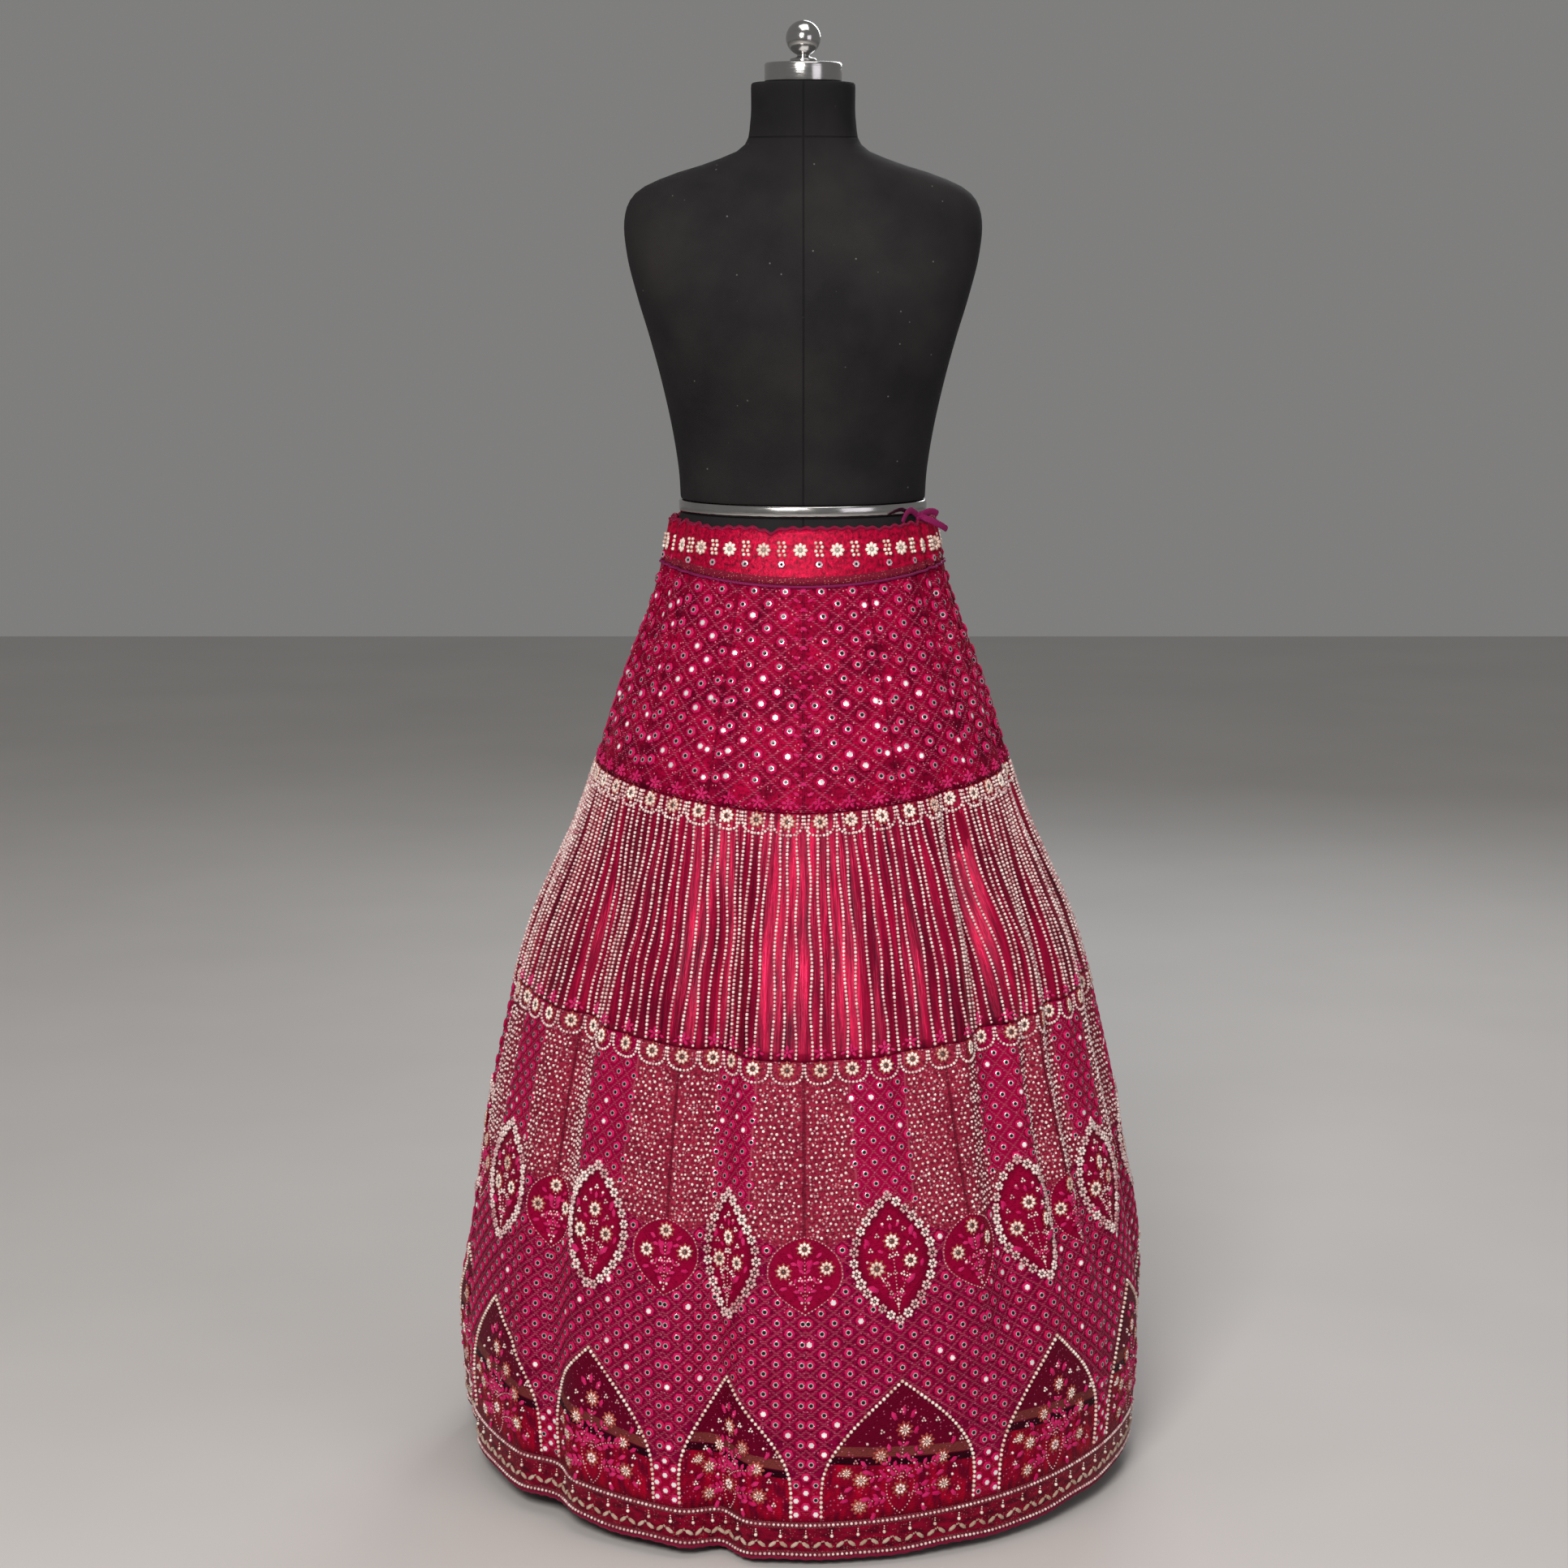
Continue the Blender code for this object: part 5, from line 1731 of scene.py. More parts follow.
ARCH_BOUQUET = Bouquet(
    flowers=(
        (3, 140, 10, 1), (-18, 116, 25, 0.94), (23, 124, 0, 0.96), (38, 105, 20, 0.94), (-35, 92, 0, 1),
        (40, 76, 15, 0.96), (-36, 64, 30, 0.98), (-48, 101, 0, 0.76),
    ),
    trios=(
        (20, 147, 0), (-17, 141, 20), (0, 160, 0), (33, 145, 0), (56, 120, 0), (-40, 112, 0), (-54, 100, 0),
        (50, 93, 0), (54, 68, 0), (-52, 76, 0),
    ),
    pearls=(
        (-10, 134), (12, 156), (-30, 130), (45, 127), (12, 104), (-11, 100), (-22, 84), (24, 90), (-20, 58),
        (21, 58), (48, 84), (-56, 88),
    ),
    leaves=(
        (-4, 150, 30, 1.4), (8, 150, -30, 1.4), (2, 154, 0, 1.3), (-25, 98, 75, 1.4), (32, 99, -20, 1.4),
        (-26, 72, 100, 1.4), (28, 68, -95, 1.4), (45, 97, -60, 1.2), (-42, 86, 120, 1.3),
        (47, 68, -140, 1.2), (-22, 57, 160, 1.3), (20, 60, -160, 1.3), (-16, 68, 70, 1.3),
        (19, 66, -70, 1.3), (-17, 79, 60, 1.3), (18, 78, -60, 1.3), (14, 90, -40, 1.3), (-11, 90, 40, 1.3),
        (-30, 105, 40, 1.2), (46, 115, -30, 1.2), (-10, 118, 10, 1.2), (12, 133, -20, 1.2),
        (-45, 72, 100, 1.2), (32, 86, -60, 1.3),
    ),
    stems=(
        Stem((0, 88), (0, 112), (3, 134), 3, 1.2), Stem((0, 88), (-6, 104), (-15, 111), 3, 1.2),
        Stem((0, 88), (7, 110), (20, 119), 3, 1.2), Stem((0, 88), (-16, 98), (-30, 93), 3, 1.2),
        Stem((0, 88), (18, 102), (34, 102), 4, 1.2), Stem((-8, 70), (-19, 73), (-31, 66), 3, 1.2),
        Stem((8, 70), (22, 79), (35, 76), 3, 1.2), Stem((0, 53), (-13, 64), (-12.5, 85)),
        Stem((0, 53), (13, 64), (12.5, 85)),
    ),
)


def mirror(ring: float, rim: float, glass: float, height: float = 0.0014) -> Motif:
    """A mirror in a rim, in a ring of thread.

    Args:
        ring: Radius of the ring of thread.
        rim: Radius of the rim.
        glass: Radius of the glass.
        height: How far the thread stands out of the cloth.

    Returns:
        The motif, with a tone of 0 on thread, 0.7 on the rim and 1 on the glass.
    """
    inner = 2.1 * glass - 1.1 * rim
    rings = (
        (ring, -0.0003, 0.0),
        (ring * 0.86, height * 0.8, 0.0),
        (rim * 1.12, height, 0.0),
        (rim, height * 1.15, 0.7),
        (inner, height * 0.95, 1.0),
    )
    return Motif().dome(rings, (height * 0.9, 1.0), sides=6)


WAIST_MIRROR = mirror(0.0048, 0.0036, 0.0019)
UPPER_MIRROR = mirror(0.0068, 0.0032, 0.0022)
PANEL_MIRROR = mirror(0.0056, 0.0028, 0.002)
LATTICE_MIRROR = mirror(0.0062, 0.003, 0.0022)


# ---------------------------------------------------------------- the skirt
def finish(kind: Callable[..., object], *settings: object) -> Material:
    """A field for a finish of some kind, which is built once, with the palette."""
    return field(default_factory=lambda: kind(*settings).make())


@dataclass
class Palette:
    """The finishes of the part, each built once."""

    band: Material = finish(WaistSatin)
    upper: Material = finish(MirrorNet)
    # Satin colours: base, painted shade in the wrinkles' hollows, painted highlight on their crests
    middle: Material = finish(Satin, "bead_satin", colour(172, 2, 56), colour(58, 1, 22), colour(222, 34, 86))
    lower: Material = finish(LatticeNet)
    border: Material = finish(BorderSatin)
    # Base, painted shade and painted highlight of the facing's satin
    facing: Material = finish(Satin, "facing_satin", colour(180, 3, 44), colour(96, 2, 26), colour(220, 46, 76))
    mauve: Material = finish(Thread, "mauve_thread", colour(148, 24, 92), colour(178, 76, 128))
    braid: Material = finish(Thread, "crimson_braid", colour(150, 12, 62), colour(186, 60, 100))
    magenta: Material = finish(Thread, "magenta_thread", colour(226, 10, 104), colour(240, 60, 134))
    gold: Material = finish(Thread, "gold_thread", colour(212, 174, 150), colour(246, 226, 210), 0.42)
    rosy_gold: Material = finish(Thread, "rose_gold_thread", colour(186, 66, 66), colour(214, 122, 98), 0.45)
    cream: Material = finish(Pearl, "cream_pearl", colour(250, 238, 226), colour(204, 166, 150))
    silver: Material = finish(Pearl, "silver_bead", colour(248, 230, 224), colour(190, 126, 132))
    rose: Material = finish(Pearl, "rose_bead", colour(226, 176, 176), colour(176, 96, 108))
    mirror: Material = finish(MirrorWork)
    jersey: Material = finish(Jersey)
    chrome: Material = finish(Metal, "chrome_steel", (0.52, 0.51, 0.5), 0.11, 1.0)
    steel: Material = finish(Metal, "black_steel", (0.02, 0.02, 0.021), 0.38, 0.5)


def turns(count: int, start: float = 0.0) -> Array:
    """Angles spaced evenly all round."""
    return start + 360.0 * np.arange(count) / count


def roll(
    name: str, height: Array, out: Array | float, radius: Array | float, material: Material, slot: Slot
) -> Item:
    """A roll of cloth all round, at a height for each evenly spaced angle.

    Args:
        name: Name of the piece.
        height: Heights, evenly spaced all round.
        out: How far the roll's middle is out of the cloth's outer surface.
        radius: Radius of the roll.
        material: Its finish.
        slot: The record's slot of that finish.

    Returns:
        The piece.
    """
    sides = 6
    angle = turns(len(height))
    radius = np.broadcast_to(radius, angle.shape)
    across, up, away = CLOTH.directions(angle, height)
    middle = CLOTH.point(angle, height) + away * np.broadcast_to(out, angle.shape)[:, None]
    turn = 2 * np.pi * np.arange(sides) / sides
    offset = away[:, None] * np.cos(turn)[None, :, None] + up[:, None] * np.sin(turn)[None, :, None]
    points = middle[:, None] + offset * radius[:, None, None]
    faces = [face[::-1] for face in tube_faces(len(angle), sides, closed=True)]
    return add_piece(name, points.reshape(-1, 3), faces, material, slot)


@dataclass
class Waistband:
    """Gathered satin casing with its edging, piping and sewn flowers."""

    palette: Palette
    sewing: Sewing
    flowers: int = 24
    first_flower: float = -1.2
    flower_height: float = 1.0045
    cluster_height: float = 1.012
    cluster_rows: int = 4
    cluster_pitch: float = 0.0042
    cluster_half_width: float = 0.0024
    cluster_shift: float = 0.0006
    mirror_height: float = 0.99
    edging: float = 0.0021
    edging_rise: float = 0.0006
    edging_out: float = -0.001
    edging_waves: int = 62
    edging_wave: float = 0.0011
    piping: float = 0.0016
    piping_drop: float = 0.0008
    piping_out: float = 0.001

    def build(self, form: Item) -> Item:
        """Build the band and what is sewn on it, resting on the form.

        Args:
            form: The hip part of the form; not used.

        Returns:
            The band.
        """
        p = self.palette
        shell = Shell("skirt_waistband", waist_edge, lambda a: waist_seam(a) + SEAM_GAP, 10, 2)
        band = shell.build(p.band, Slot.BAND)
        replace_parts(band, "waistband")
        angle = turns(496)
        wave = self.edging_wave * np.sin(np.radians(angle * self.edging_waves))
        height = waist_edge(angle) + wave + self.edging_rise
        edging = roll("waist_edging", height, self.edging_out, self.edging, p.braid, Slot.BAND)
        height = waist_seam(angle) - self.piping_drop
        piping = roll("waist_piping_roll", height, self.piping_out, self.piping, p.mauve, Slot.PIPING)
        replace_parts(piping, "waist_piping")
        flowers = self._flowers()
        return band

    def _flowers(self) -> list[Item]:
        """Pearl flowers all round, with pearls and a small mirror between them.

        Returns:
            The new pieces.
        """
        p, sew = self.palette, self.sewing.on_places
        angle = turns(self.flowers, self.first_flower)
        between = angle + 180.0 / self.flowers
        flowers = [Places(angle, self.flower_height)]
        pearls = []
        for column in (-1, 1):
            for row in range(self.cluster_rows):
                height = self.cluster_height - self.cluster_pitch * row
                x = self.cluster_half_width * column + self.cluster_shift * (1 if row % 2 else -1)
                pearls.append(Places(between + x / CLOTH.metres_a_degree(height), height))
        mirrors = [Places(between, self.mirror_height)]
        return [
            sew("waist_flowers", flowers, BAND_FLOWER, p.cream, Slot.BAND),
            sew("waist_pearls", pearls, PEARL, p.cream, Slot.BAND, seed=3),
            sew("waist_mirrors", mirrors, WAIST_MIRROR, p.mirror, Slot.BAND),
        ]


@dataclass
class Drawstring:
    """Flat cord that comes out of the band's top edge, with its knot and two free ends."""

    palette: Palette
    width: float = 0.007
    thickness: float = 0.0024
    knot_angle: float = 61.5
    knot_radius: float = 0.0055
    exit_angle: float = 47.0
    exit_rise: float = 0.004
    steps: int = 7
    sides: int = 10
    wall_middle: float = 0.001
    end_width: float = 0.82
    bulge: float = 0.04
    bulge_rate: float = 1.9
    tied: Rows = ((-0.0135, -0.0178, 0.004), (-0.0085, -0.0105, 0.0066), (-0.0034, -0.0041, 0.003))
    upper: Rows = (
        (0.0055, 0.002, 0.0023), (0.0105, 0.005, 0.0042), (0.0155, 0.0085, 0.004), (0.0205, 0.012, 0.0012),
    )
    lower: Rows = (
        (0.0055, -0.0035, -0.0017), (0.012, -0.0038, -0.0042), (0.019, -0.0022, -0.0074),
        (0.025, 0.0012, -0.0108), (0.03, 0.006, -0.0145),
    )

    def build(self) -> None:
        """Build the cord in two pieces that meet in the knot."""
        centre = self._band_edge(self.knot_angle) + np.array((0.0, 0.0, self.knot_radius + SEAM_GAP))
        start = self._band_edge(self.exit_angle) + np.array((0.0, 0.0, self.exit_rise))
        knot = self._knot(centre)
        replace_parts(knot, "drawstring_knot")
        first = np.array([start, *(centre + np.array(self.tied)), centre, *(centre + np.array(self.upper))])
        second = np.array([centre + np.array(self.tied[-1]), centre, *(centre + np.array(self.lower))])
        self._cord("drawstring_long", first, ("drawstring_tied", "drawstring_end_upper"))
        self._cord("drawstring_short", second, ("drawstring_end_lower",))

    def _band_edge(self, angle: float) -> Array:
        """Middle of the band's wall at its top edge.

        Args:
            angle: Cloth angle in degrees.

        Returns:
            The point.
        """
        angles = np.array([angle - 0.05, angle, angle + 0.05])
        height = np.full(3, float(waist_edge(np.array([angle]))[0]))
        before, at, after = CLOTH.point(angles, height)
        along = after - before
        away = np.array((along[1], -along[0], 0.0))
        return at - away / np.linalg.norm(away) * self.wall_middle

    def _smooth(self, points: Array) -> Array:
        """Points of a smooth line through the given ones.

        Args:
            points: Points to go through.

        Returns:
            All points of the line, one in each row.
        """
        ends = np.vstack([2 * points[0] - points[1], points, 2 * points[-1] - points[-2]])
        line = []
        for a, b, c, d in zip(ends, ends[1:], ends[2:], ends[3:]):
            for t in np.arange(self.steps) / self.steps:
                square, cube = 2 * a - 5 * b + 4 * c - d, 3 * b - a - 3 * c + d
                line.append(0.5 * (2 * b + (c - a) * t + square * t**2 + cube * t**3))
        return np.array([*line, points[-1]])

    def _cord(self, name: str, route: Array, nodes: tuple[str, ...]) -> None:
        """Args:
            name: Name of the piece.
            route: Points that it runs through.
            nodes: Nodes of the solids that it stands for.
        """
        line = self._smooth(route)
        points = []
        turn = 2 * np.pi * np.arange(self.sides) / self.sides
        for i, point in enumerate(line):
            along = line[min(i + 1, len(line) - 1)] - line[max(i - 1, 0)]
            along /= np.linalg.norm(along)
            up = np.array((0.0, 0.0, 1.0)) - along * along[2]
            up /= np.linalg.norm(up)
            off = np.cross(along, up)
            full = self.end_width if i in (0, len(line) - 1) else 1.0
            flat, thick = self.width / 2 * full, self.thickness / 2 * full
            bulge = 1.0 + self.bulge * math.sin(i * self.bulge_rate)
            points += [point + up * flat * bulge * c + off * thick * s for c, s in zip(np.cos(turn), np.sin(turn))]
        faces = tube_faces(len(line), self.sides, closed=False)
        cord = add_piece(name, np.array(points), faces, self.palette.mauve, Slot.CORD)
        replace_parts(cord, *nodes)

    def _knot(self, centre: Array) -> Item:
        """A cord wound into a tight three-lobed knot.

        Args:
            centre: Middle of the knot.

        Returns:
            The knot.
        """
        count, sides, cord_radius = 60, 8, 0.0021
        t = 2 * np.pi * np.arange(count) / count
        scale = (self.knot_radius - cord_radius) / 3.0
        x, y, z = np.sin(t) + 2 * np.sin(2 * t), -1.2 * np.sin(3 * t), np.cos(t) - 2 * np.cos(2 * t)
        line = scale * np.stack([x, y, z], axis=-1)
        along = np.roll(line, -1, axis=0) - np.roll(line, 1, axis=0)
        along /= np.linalg.norm(along, axis=1, keepdims=True)
        side = np.cross(along, line)
        side /= np.linalg.norm(side, axis=1, keepdims=True)
        out = np.cross(side, along)
        turn = 2 * np.pi * np.arange(sides) / sides
        rings = out[:, None] * np.cos(turn)[None, :, None] + side[:, None] * np.sin(turn)[None, :, None]
        points = centre + line[:, None] + rings * cord_radius
        faces = tube_faces(count, sides, closed=True)
        return add_piece("drawstring_knot_tied", points.reshape(-1, 3), faces, self.palette.mauve, Slot.CORD)


def lattice_places(
    size: Pair,
    span: Pair,
    keep: Callable[[Array, Array], Array],
    rng: np.random.Generator,
    flashes: float,
) -> list[Places]:
    """Places at the crossings of a diamond lattice on each kali.

    Args:
        size: Width and height of a diamond.
        span: Lowest and highest crossing wanted.
        keep: Tells, from metres off the kali's middle and height, which places are kept.
        rng: Source of the random choice of mirrors that flash.
        flashes: Share of mirrors that flash.

    Returns:
        The places on every kali.
    """
    half_wide, half_tall = size[0] / 2, size[1] / 2
    reach = math.ceil(0.1 / size[0]) * 2
    steps = np.arange(-reach, reach + 1)
    places = []
    for row in range(math.ceil(span[0] / half_tall), math.floor(span[1] / half_tall) + 1):
        x = steps[(steps + row) % 2 == 0] * half_wide
        x = x[keep(x, np.full_like(x, row * half_tall))]
        at = np.full_like(x, row * half_tall)
        for kali in range(KALIS):
            flash = (rng.random(len(x)) < flashes) * rng.uniform(0.55, 1.0, len(x))
            places.append(Places(CLOTH.angle_in_kali(kali, x, at), at, rng.uniform(0, 60, len(x)), flash=flash))
    return places


@dataclass
class UpperTier:
    """Net tier with a diamond lattice of mirrors."""

    palette: Palette
    sewing: Sewing
    size: Pair = UPPER_LATTICE
    span: Pair = (0.768, 0.966)
    clear: float = 0.0105
    flashes: float = 0.22
    beside_seam: float = 0.0066
    seam_rows: int = 8
    seam_low: float = 0.7705
    seam_flashes: float = 0.25
    seam_size: float = 0.92
    jitter: Pair = (0.0008, 0.003)
    swirl_rows: int = 22
    swirl_low: float = 0.762
    swirl_pitch: float = 0.0095
    swirl_slant: float = 62.0
    swirl_beside: float = 0.0032
    swirl_shift: float = 0.001

    def build(self, band: Item) -> Item:
        """Build the tier and what is sewn on it.

        Args:
            band: The waistband; not used.

        Returns:
            The tier.
        """
        shell = Shell("skirt_upper_tier", lambda a: waist_seam(a) - SEAM_GAP, level(UPPER_SEAM + SEAM_GAP), 26, 3)
        tier = shell.build(self.palette.upper, Slot.UPPER)
        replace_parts(tier, "upper_tier_front", "upper_tier_back")
        sewn = [self._mirrors(), self._swirls()]
        return tier

    def _mirrors(self) -> Item:
        """Mirrors of the lattice, and a line of them on both sides of each seam.

        Returns:
            One piece with all of them.
        """
        rng = np.random.default_rng(11)

        def keep(x: Array, height: Array) -> Array:
            """Clear of the kali seams."""
            return np.abs(x) < CLOTH.half_kali(height) - self.clear

        places = lattice_places(self.size, self.span, keep, rng, self.flashes)
        for seam in range(1, KALIS):
            for row in range(self.seam_rows):
                height = self.seam_low + self.size[1] * row + rng.uniform(-self.jitter[1], self.jitter[1], 2)
                x = np.array([-self.beside_seam, self.beside_seam]) + rng.uniform(-self.jitter[0], self.jitter[0], 2)
                flash = (rng.random(2) < self.seam_flashes).astype(float)
                angle = CLOTH.angle_at_seam(seam, x, height)
                places.append(Places(angle, height, rng.uniform(0, 60, 2), self.seam_size, flash=flash))
        return self.sewing.on_places("upper_mirrors", places, UPPER_MIRROR, self.palette.mirror, Slot.UPPER)

    def _swirls(self) -> Item:
        """Thread swirls down the seam at the middle of the front.

        Returns:
            One piece with all of them.
        """
        swirls = []
        for row in range(self.swirl_rows):
            height = self.swirl_low + self.swirl_pitch * row
            for side in (-1, 1):
                x = np.array([side * (self.swirl_beside + self.swirl_shift * (row % 2))])
                spin = self.swirl_slant * side * (1 if row % 2 else -1)
                swirls.append(Places(CLOTH.angle_at_seam(0, x, height), height, spin))
        thread = self.palette.magenta
        return self.sewing.on_places("upper_seam_swirls", swirls, THREAD_LEAF, thread, Slot.UPPER, seed=5)


@dataclass
class MiddleTier:
    """Satin tier with upright lines of beads."""

    palette: Palette
    sewing: Sewing
    lines: int = 160
    line_top: float = 0.7425
    line_foot: float = 0.5135
    drift: float = 0.16
    pitch: float = 0.004
    wave: float = 0.001
    wave_lengths: Pair = (0.07, 0.14)

    def build(self, tier_above: Item) -> Item:
        """Build the tier and its bead lines.

        Args:
            tier_above: The tier that it hangs from; not used.

        Returns:
            The tier.
        """
        p, rng = self.palette, np.random.default_rng(23)
        shell = Shell("skirt_middle_tier", level(UPPER_SEAM - SEAM_GAP), level(LOWER_SEAM + SEAM_GAP), 26, 3)
        tier = shell.build(p.middle, Slot.MIDDLE)
        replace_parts(tier, "middle_tier_front", "middle_tier_back")
        height = np.linspace(self.line_top, self.line_foot, 26)
        lines = []
        for i in range(self.lines):
            drift = rng.uniform(-self.drift, self.drift)
            phase, length = rng.uniform(0, 2 * np.pi), rng.uniform(*self.wave_lengths)
            x = self.wave * np.sin(2 * np.pi * height / length + phase)
            angle = 360.0 / self.lines * (i + 0.5 + drift) + x / CLOTH.metres_a_degree(height)
            lines.append((angle, height))
        beads = self.sewing.on_lines("middle_bead_lines", lines, self.pitch, LINE_BEAD, p.silver, Slot.MIDDLE, seed=4)
        return tier


@dataclass
class ScallopTrim:
    """Trim of hanging bead loops, each round a flower, with buds above the seam."""

    palette: Palette
    sewing: Sewing
    prefix: str
    node: str
    seam: float
    count: int
    bead_pitch: float = 0.0036
    drop: float = 0.0215
    start: float = 0.003
    flower_drop: float = 0.0085
    bud_rise: float = 0.0088
    fill: float = 0.94

    def build(self) -> None:
        """Build the loops, flowers and buds."""
        p, middle = self.palette, turns(self.count, 180.0 / self.count)
        scale = CLOTH.metres_a_degree(self.seam - 0.01)
        half = 360.0 / self.count * scale / 2 * self.fill
        t = np.linspace(-1.0, 1.0, 25)
        x = half * np.sign(t) * np.sin(np.abs(t) * np.pi / 2) ** 0.8
        height = self.seam - self.start - (self.drop - self.start) * np.cos(t * np.pi / 2) ** 0.62
        lines = [(at + x / scale, height) for at in middle]
        args = (self.bead_pitch, SEED_BEAD, p.silver, Slot.BEADS)
        loops = self.sewing.on_lines(f"{self.prefix}_trim_loops", lines, *args, out=0.0006, seed=6)
        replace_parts(loops, self.node)
        flowers = [Places(middle, self.seam - self.flower_drop, out=0.0004)]
        buds = [Places(middle, self.seam + self.bud_rise)]
        for name, places, motif, material, seed in (
            ("halos", flowers, HALO, p.rosy_gold, 9),
            ("flowers", flowers, RING_FLOWER, p.cream, 7),
            ("buds", buds, BUD, p.magenta, 8),
        ):
            self.sewing.on_places(f"{self.prefix}_trim_{name}", places, motif, material, Slot.BEADS, seed)


@dataclass
class LowerTier:
    """Net tier with a leaf, a mirror panel and an arch on each kali, and a heart on each seam."""

    palette: Palette
    sewing: Sewing
    dot_pitch: Pair = (0.0062, 0.0064)
    dot_rows: int = 25
    dot_low: float = 0.34
    dot_packing: float = 1.08
    dot_jitter: Pair = (0.0016, 0.0015)
    dot_sizes: Pair = (0.8, 1.12)
    dot_margins: Pair = (0.0045, 0.0035)
    dot_heart_clear: float = 0.002
    leaf_clear: float = 0.0075
    heart_clear: float = 0.0055
    arch_clear: float = 0.0062
    seam_clear: float = 0.0012
    panel_foot: float = 0.368
    panel_half_width: float = 0.0285
    panel_reach: float = 0.0272
    panel_leaf_clear: float = 0.0065
    panel_flashes: float = 0.11
    lattice_flashes: float = 0.12
    foot_flashes: float = 0.6
    panel_span: Pair = (0.352, 0.486)
    lattice_span: Pair = (0.104, 0.329)
    foot_rows: int = 6
    foot_low: float = 0.0585
    foot_pitch: float = 0.0078
    foot_half_width: float = 0.0088
    foot_jitter: float = 0.0006
    foot_flash: float = 0.8
    foot_size: float = 0.95
    arch_pitch: float = 0.005
    heart_pitch: float = 0.0038
    leaf_pitch: float = 0.011
    stem_pitch: float = 0.0035

    def build(self, tier_above: Item) -> Item:
        """Build the tier and all that is sewn on it.

        Args:
            tier_above: The tier that it hangs from; not used.

        Returns:
            The tier.
        """
        shell = Shell("skirt_lower_tier", level(LOWER_SEAM - SEAM_GAP), level(BORDER_SEAM + SEAM_GAP), 46, 6)
        tier = shell.build(self.palette.lower, Slot.LOWER)
        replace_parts(tier, "lower_tier_front", "lower_tier_back")
        sewn = [self._dots(), *self._mirrors(), *self._arches(), *self._bouquets()]
        leaves = self._leaves()
        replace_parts(leaves, *(f"leaf_outline_{i + 1:02d}" for i in range(KALIS)))
        return tier

    def _dots(self) -> Item:
        """Silver beads all over the ground on both sides of the mirror panels.

        Returns:
            One piece with all of them.
        """
        rng, places = np.random.default_rng(31), []
        wide, tall = self.dot_pitch
        first, last = self.dot_margins
        aside, up = self.dot_jitter
        for row in range(self.dot_rows):
            height = self.dot_low + tall * row / self.dot_packing
            half = float(CLOTH.half_kali(height))
            row_x = np.arange(-half + first + (wide / 2 if row % 2 else 0.0), half - last, wide)
            for kali in range(KALIS):
                x, at = row_x, np.full_like(row_x, height)
                beside_leaf = half_width(LEAF, at) + self.leaf_clear
                panel = np.where(height > self.panel_foot, self.panel_half_width, beside_leaf)
                fits = (np.abs(x) > panel) & (half - np.abs(x) > half_width(HEART, at) + self.dot_heart_clear)
                x, at = x[fits] + rng.uniform(-aside, aside, fits.sum()), at[fits]
                at = at + rng.uniform(-up, up, len(x))
                size = rng.uniform(*self.dot_sizes, len(x))
                places.append(Places(CLOTH.angle_in_kali(kali, x, at), at, size=size))
        return self.sewing.on_places("lower_silver_dots", places, DOT, self.palette.silver, Slot.LOWER, seed=9)

    def _mirrors(self) -> list[Item]:
        """Mirrors of the panels above the leaves and of the lattice between the motifs.

        Returns:
            Two pieces.
        """
        rng, glass = np.random.default_rng(41), self.palette.mirror

        def in_panel(x: Array, height: Array) -> Array:
            """Inside the panel and above the leaf."""
            return (np.abs(x) < self.panel_reach) & (np.abs(x) > half_width(LEAF, height) + self.panel_leaf_clear)

        def in_lattice(x: Array, height: Array) -> Array:
            """On the lattice, clear of leaf, heart, arch and seam."""
            aside, seam = np.abs(x), CLOTH.half_kali(height) - np.abs(x)
            clear = (aside > half_width(LEAF, height) + self.leaf_clear) & (seam > self.seam_clear)
            clear &= seam > half_width(HEART, height) + self.heart_clear
            return clear & (aside > half_width(ARCH, height) + self.arch_clear)

        panels = lattice_places(PANEL_LATTICE, self.panel_span, in_panel, rng, self.panel_flashes)
        lattice = lattice_places(LOWER_LATTICE, self.lattice_span, in_lattice, rng, self.lattice_flashes)
        for seam in range(KALIS):
            for row in range(self.foot_rows):
                x = np.array([0.0] if row % 2 else [-self.foot_half_width, self.foot_half_width])
                jitter = rng.uniform(-self.foot_jitter, self.foot_jitter, len(x))
                height = self.foot_low + self.foot_pitch * row + jitter
                flash = self.foot_flash * (rng.random(len(x)) < self.foot_flashes)
                angle = CLOTH.angle_at_seam(seam, x, height)
                lattice.append(Places(angle, height, size=self.foot_size, flash=flash))
        sew = self.sewing.on_places
        return [
            sew("panel_mirrors", panels, PANEL_MIRROR, glass, Slot.LOWER, seed=2),
            sew("lattice_mirrors", lattice, LATTICE_MIRROR, glass, Slot.LOWER, seed=3),
        ]

    def _leaves(self) -> Item:
        """Flowers along the outline of each leaf, down one side and up the other.

        Returns:
            One piece with all of them.
        """
        down = np.linspace(0.0, 1.0, 40)
        height, half = leaf_row(np.concatenate([down, down[::-1][1:]]))
        x = half * np.concatenate([np.ones(40), -np.ones(39)])
        lines = [(CLOTH.angle_in_kali(kali, x, height), height) for kali in range(KALIS)]
        args = (self.leaf_pitch, LEAF_FLOWER, self.palette.silver, Slot.BEADS)
        return self.sewing.on_lines("leaf_flowers", lines, *args, out=0.0006, seed=12)

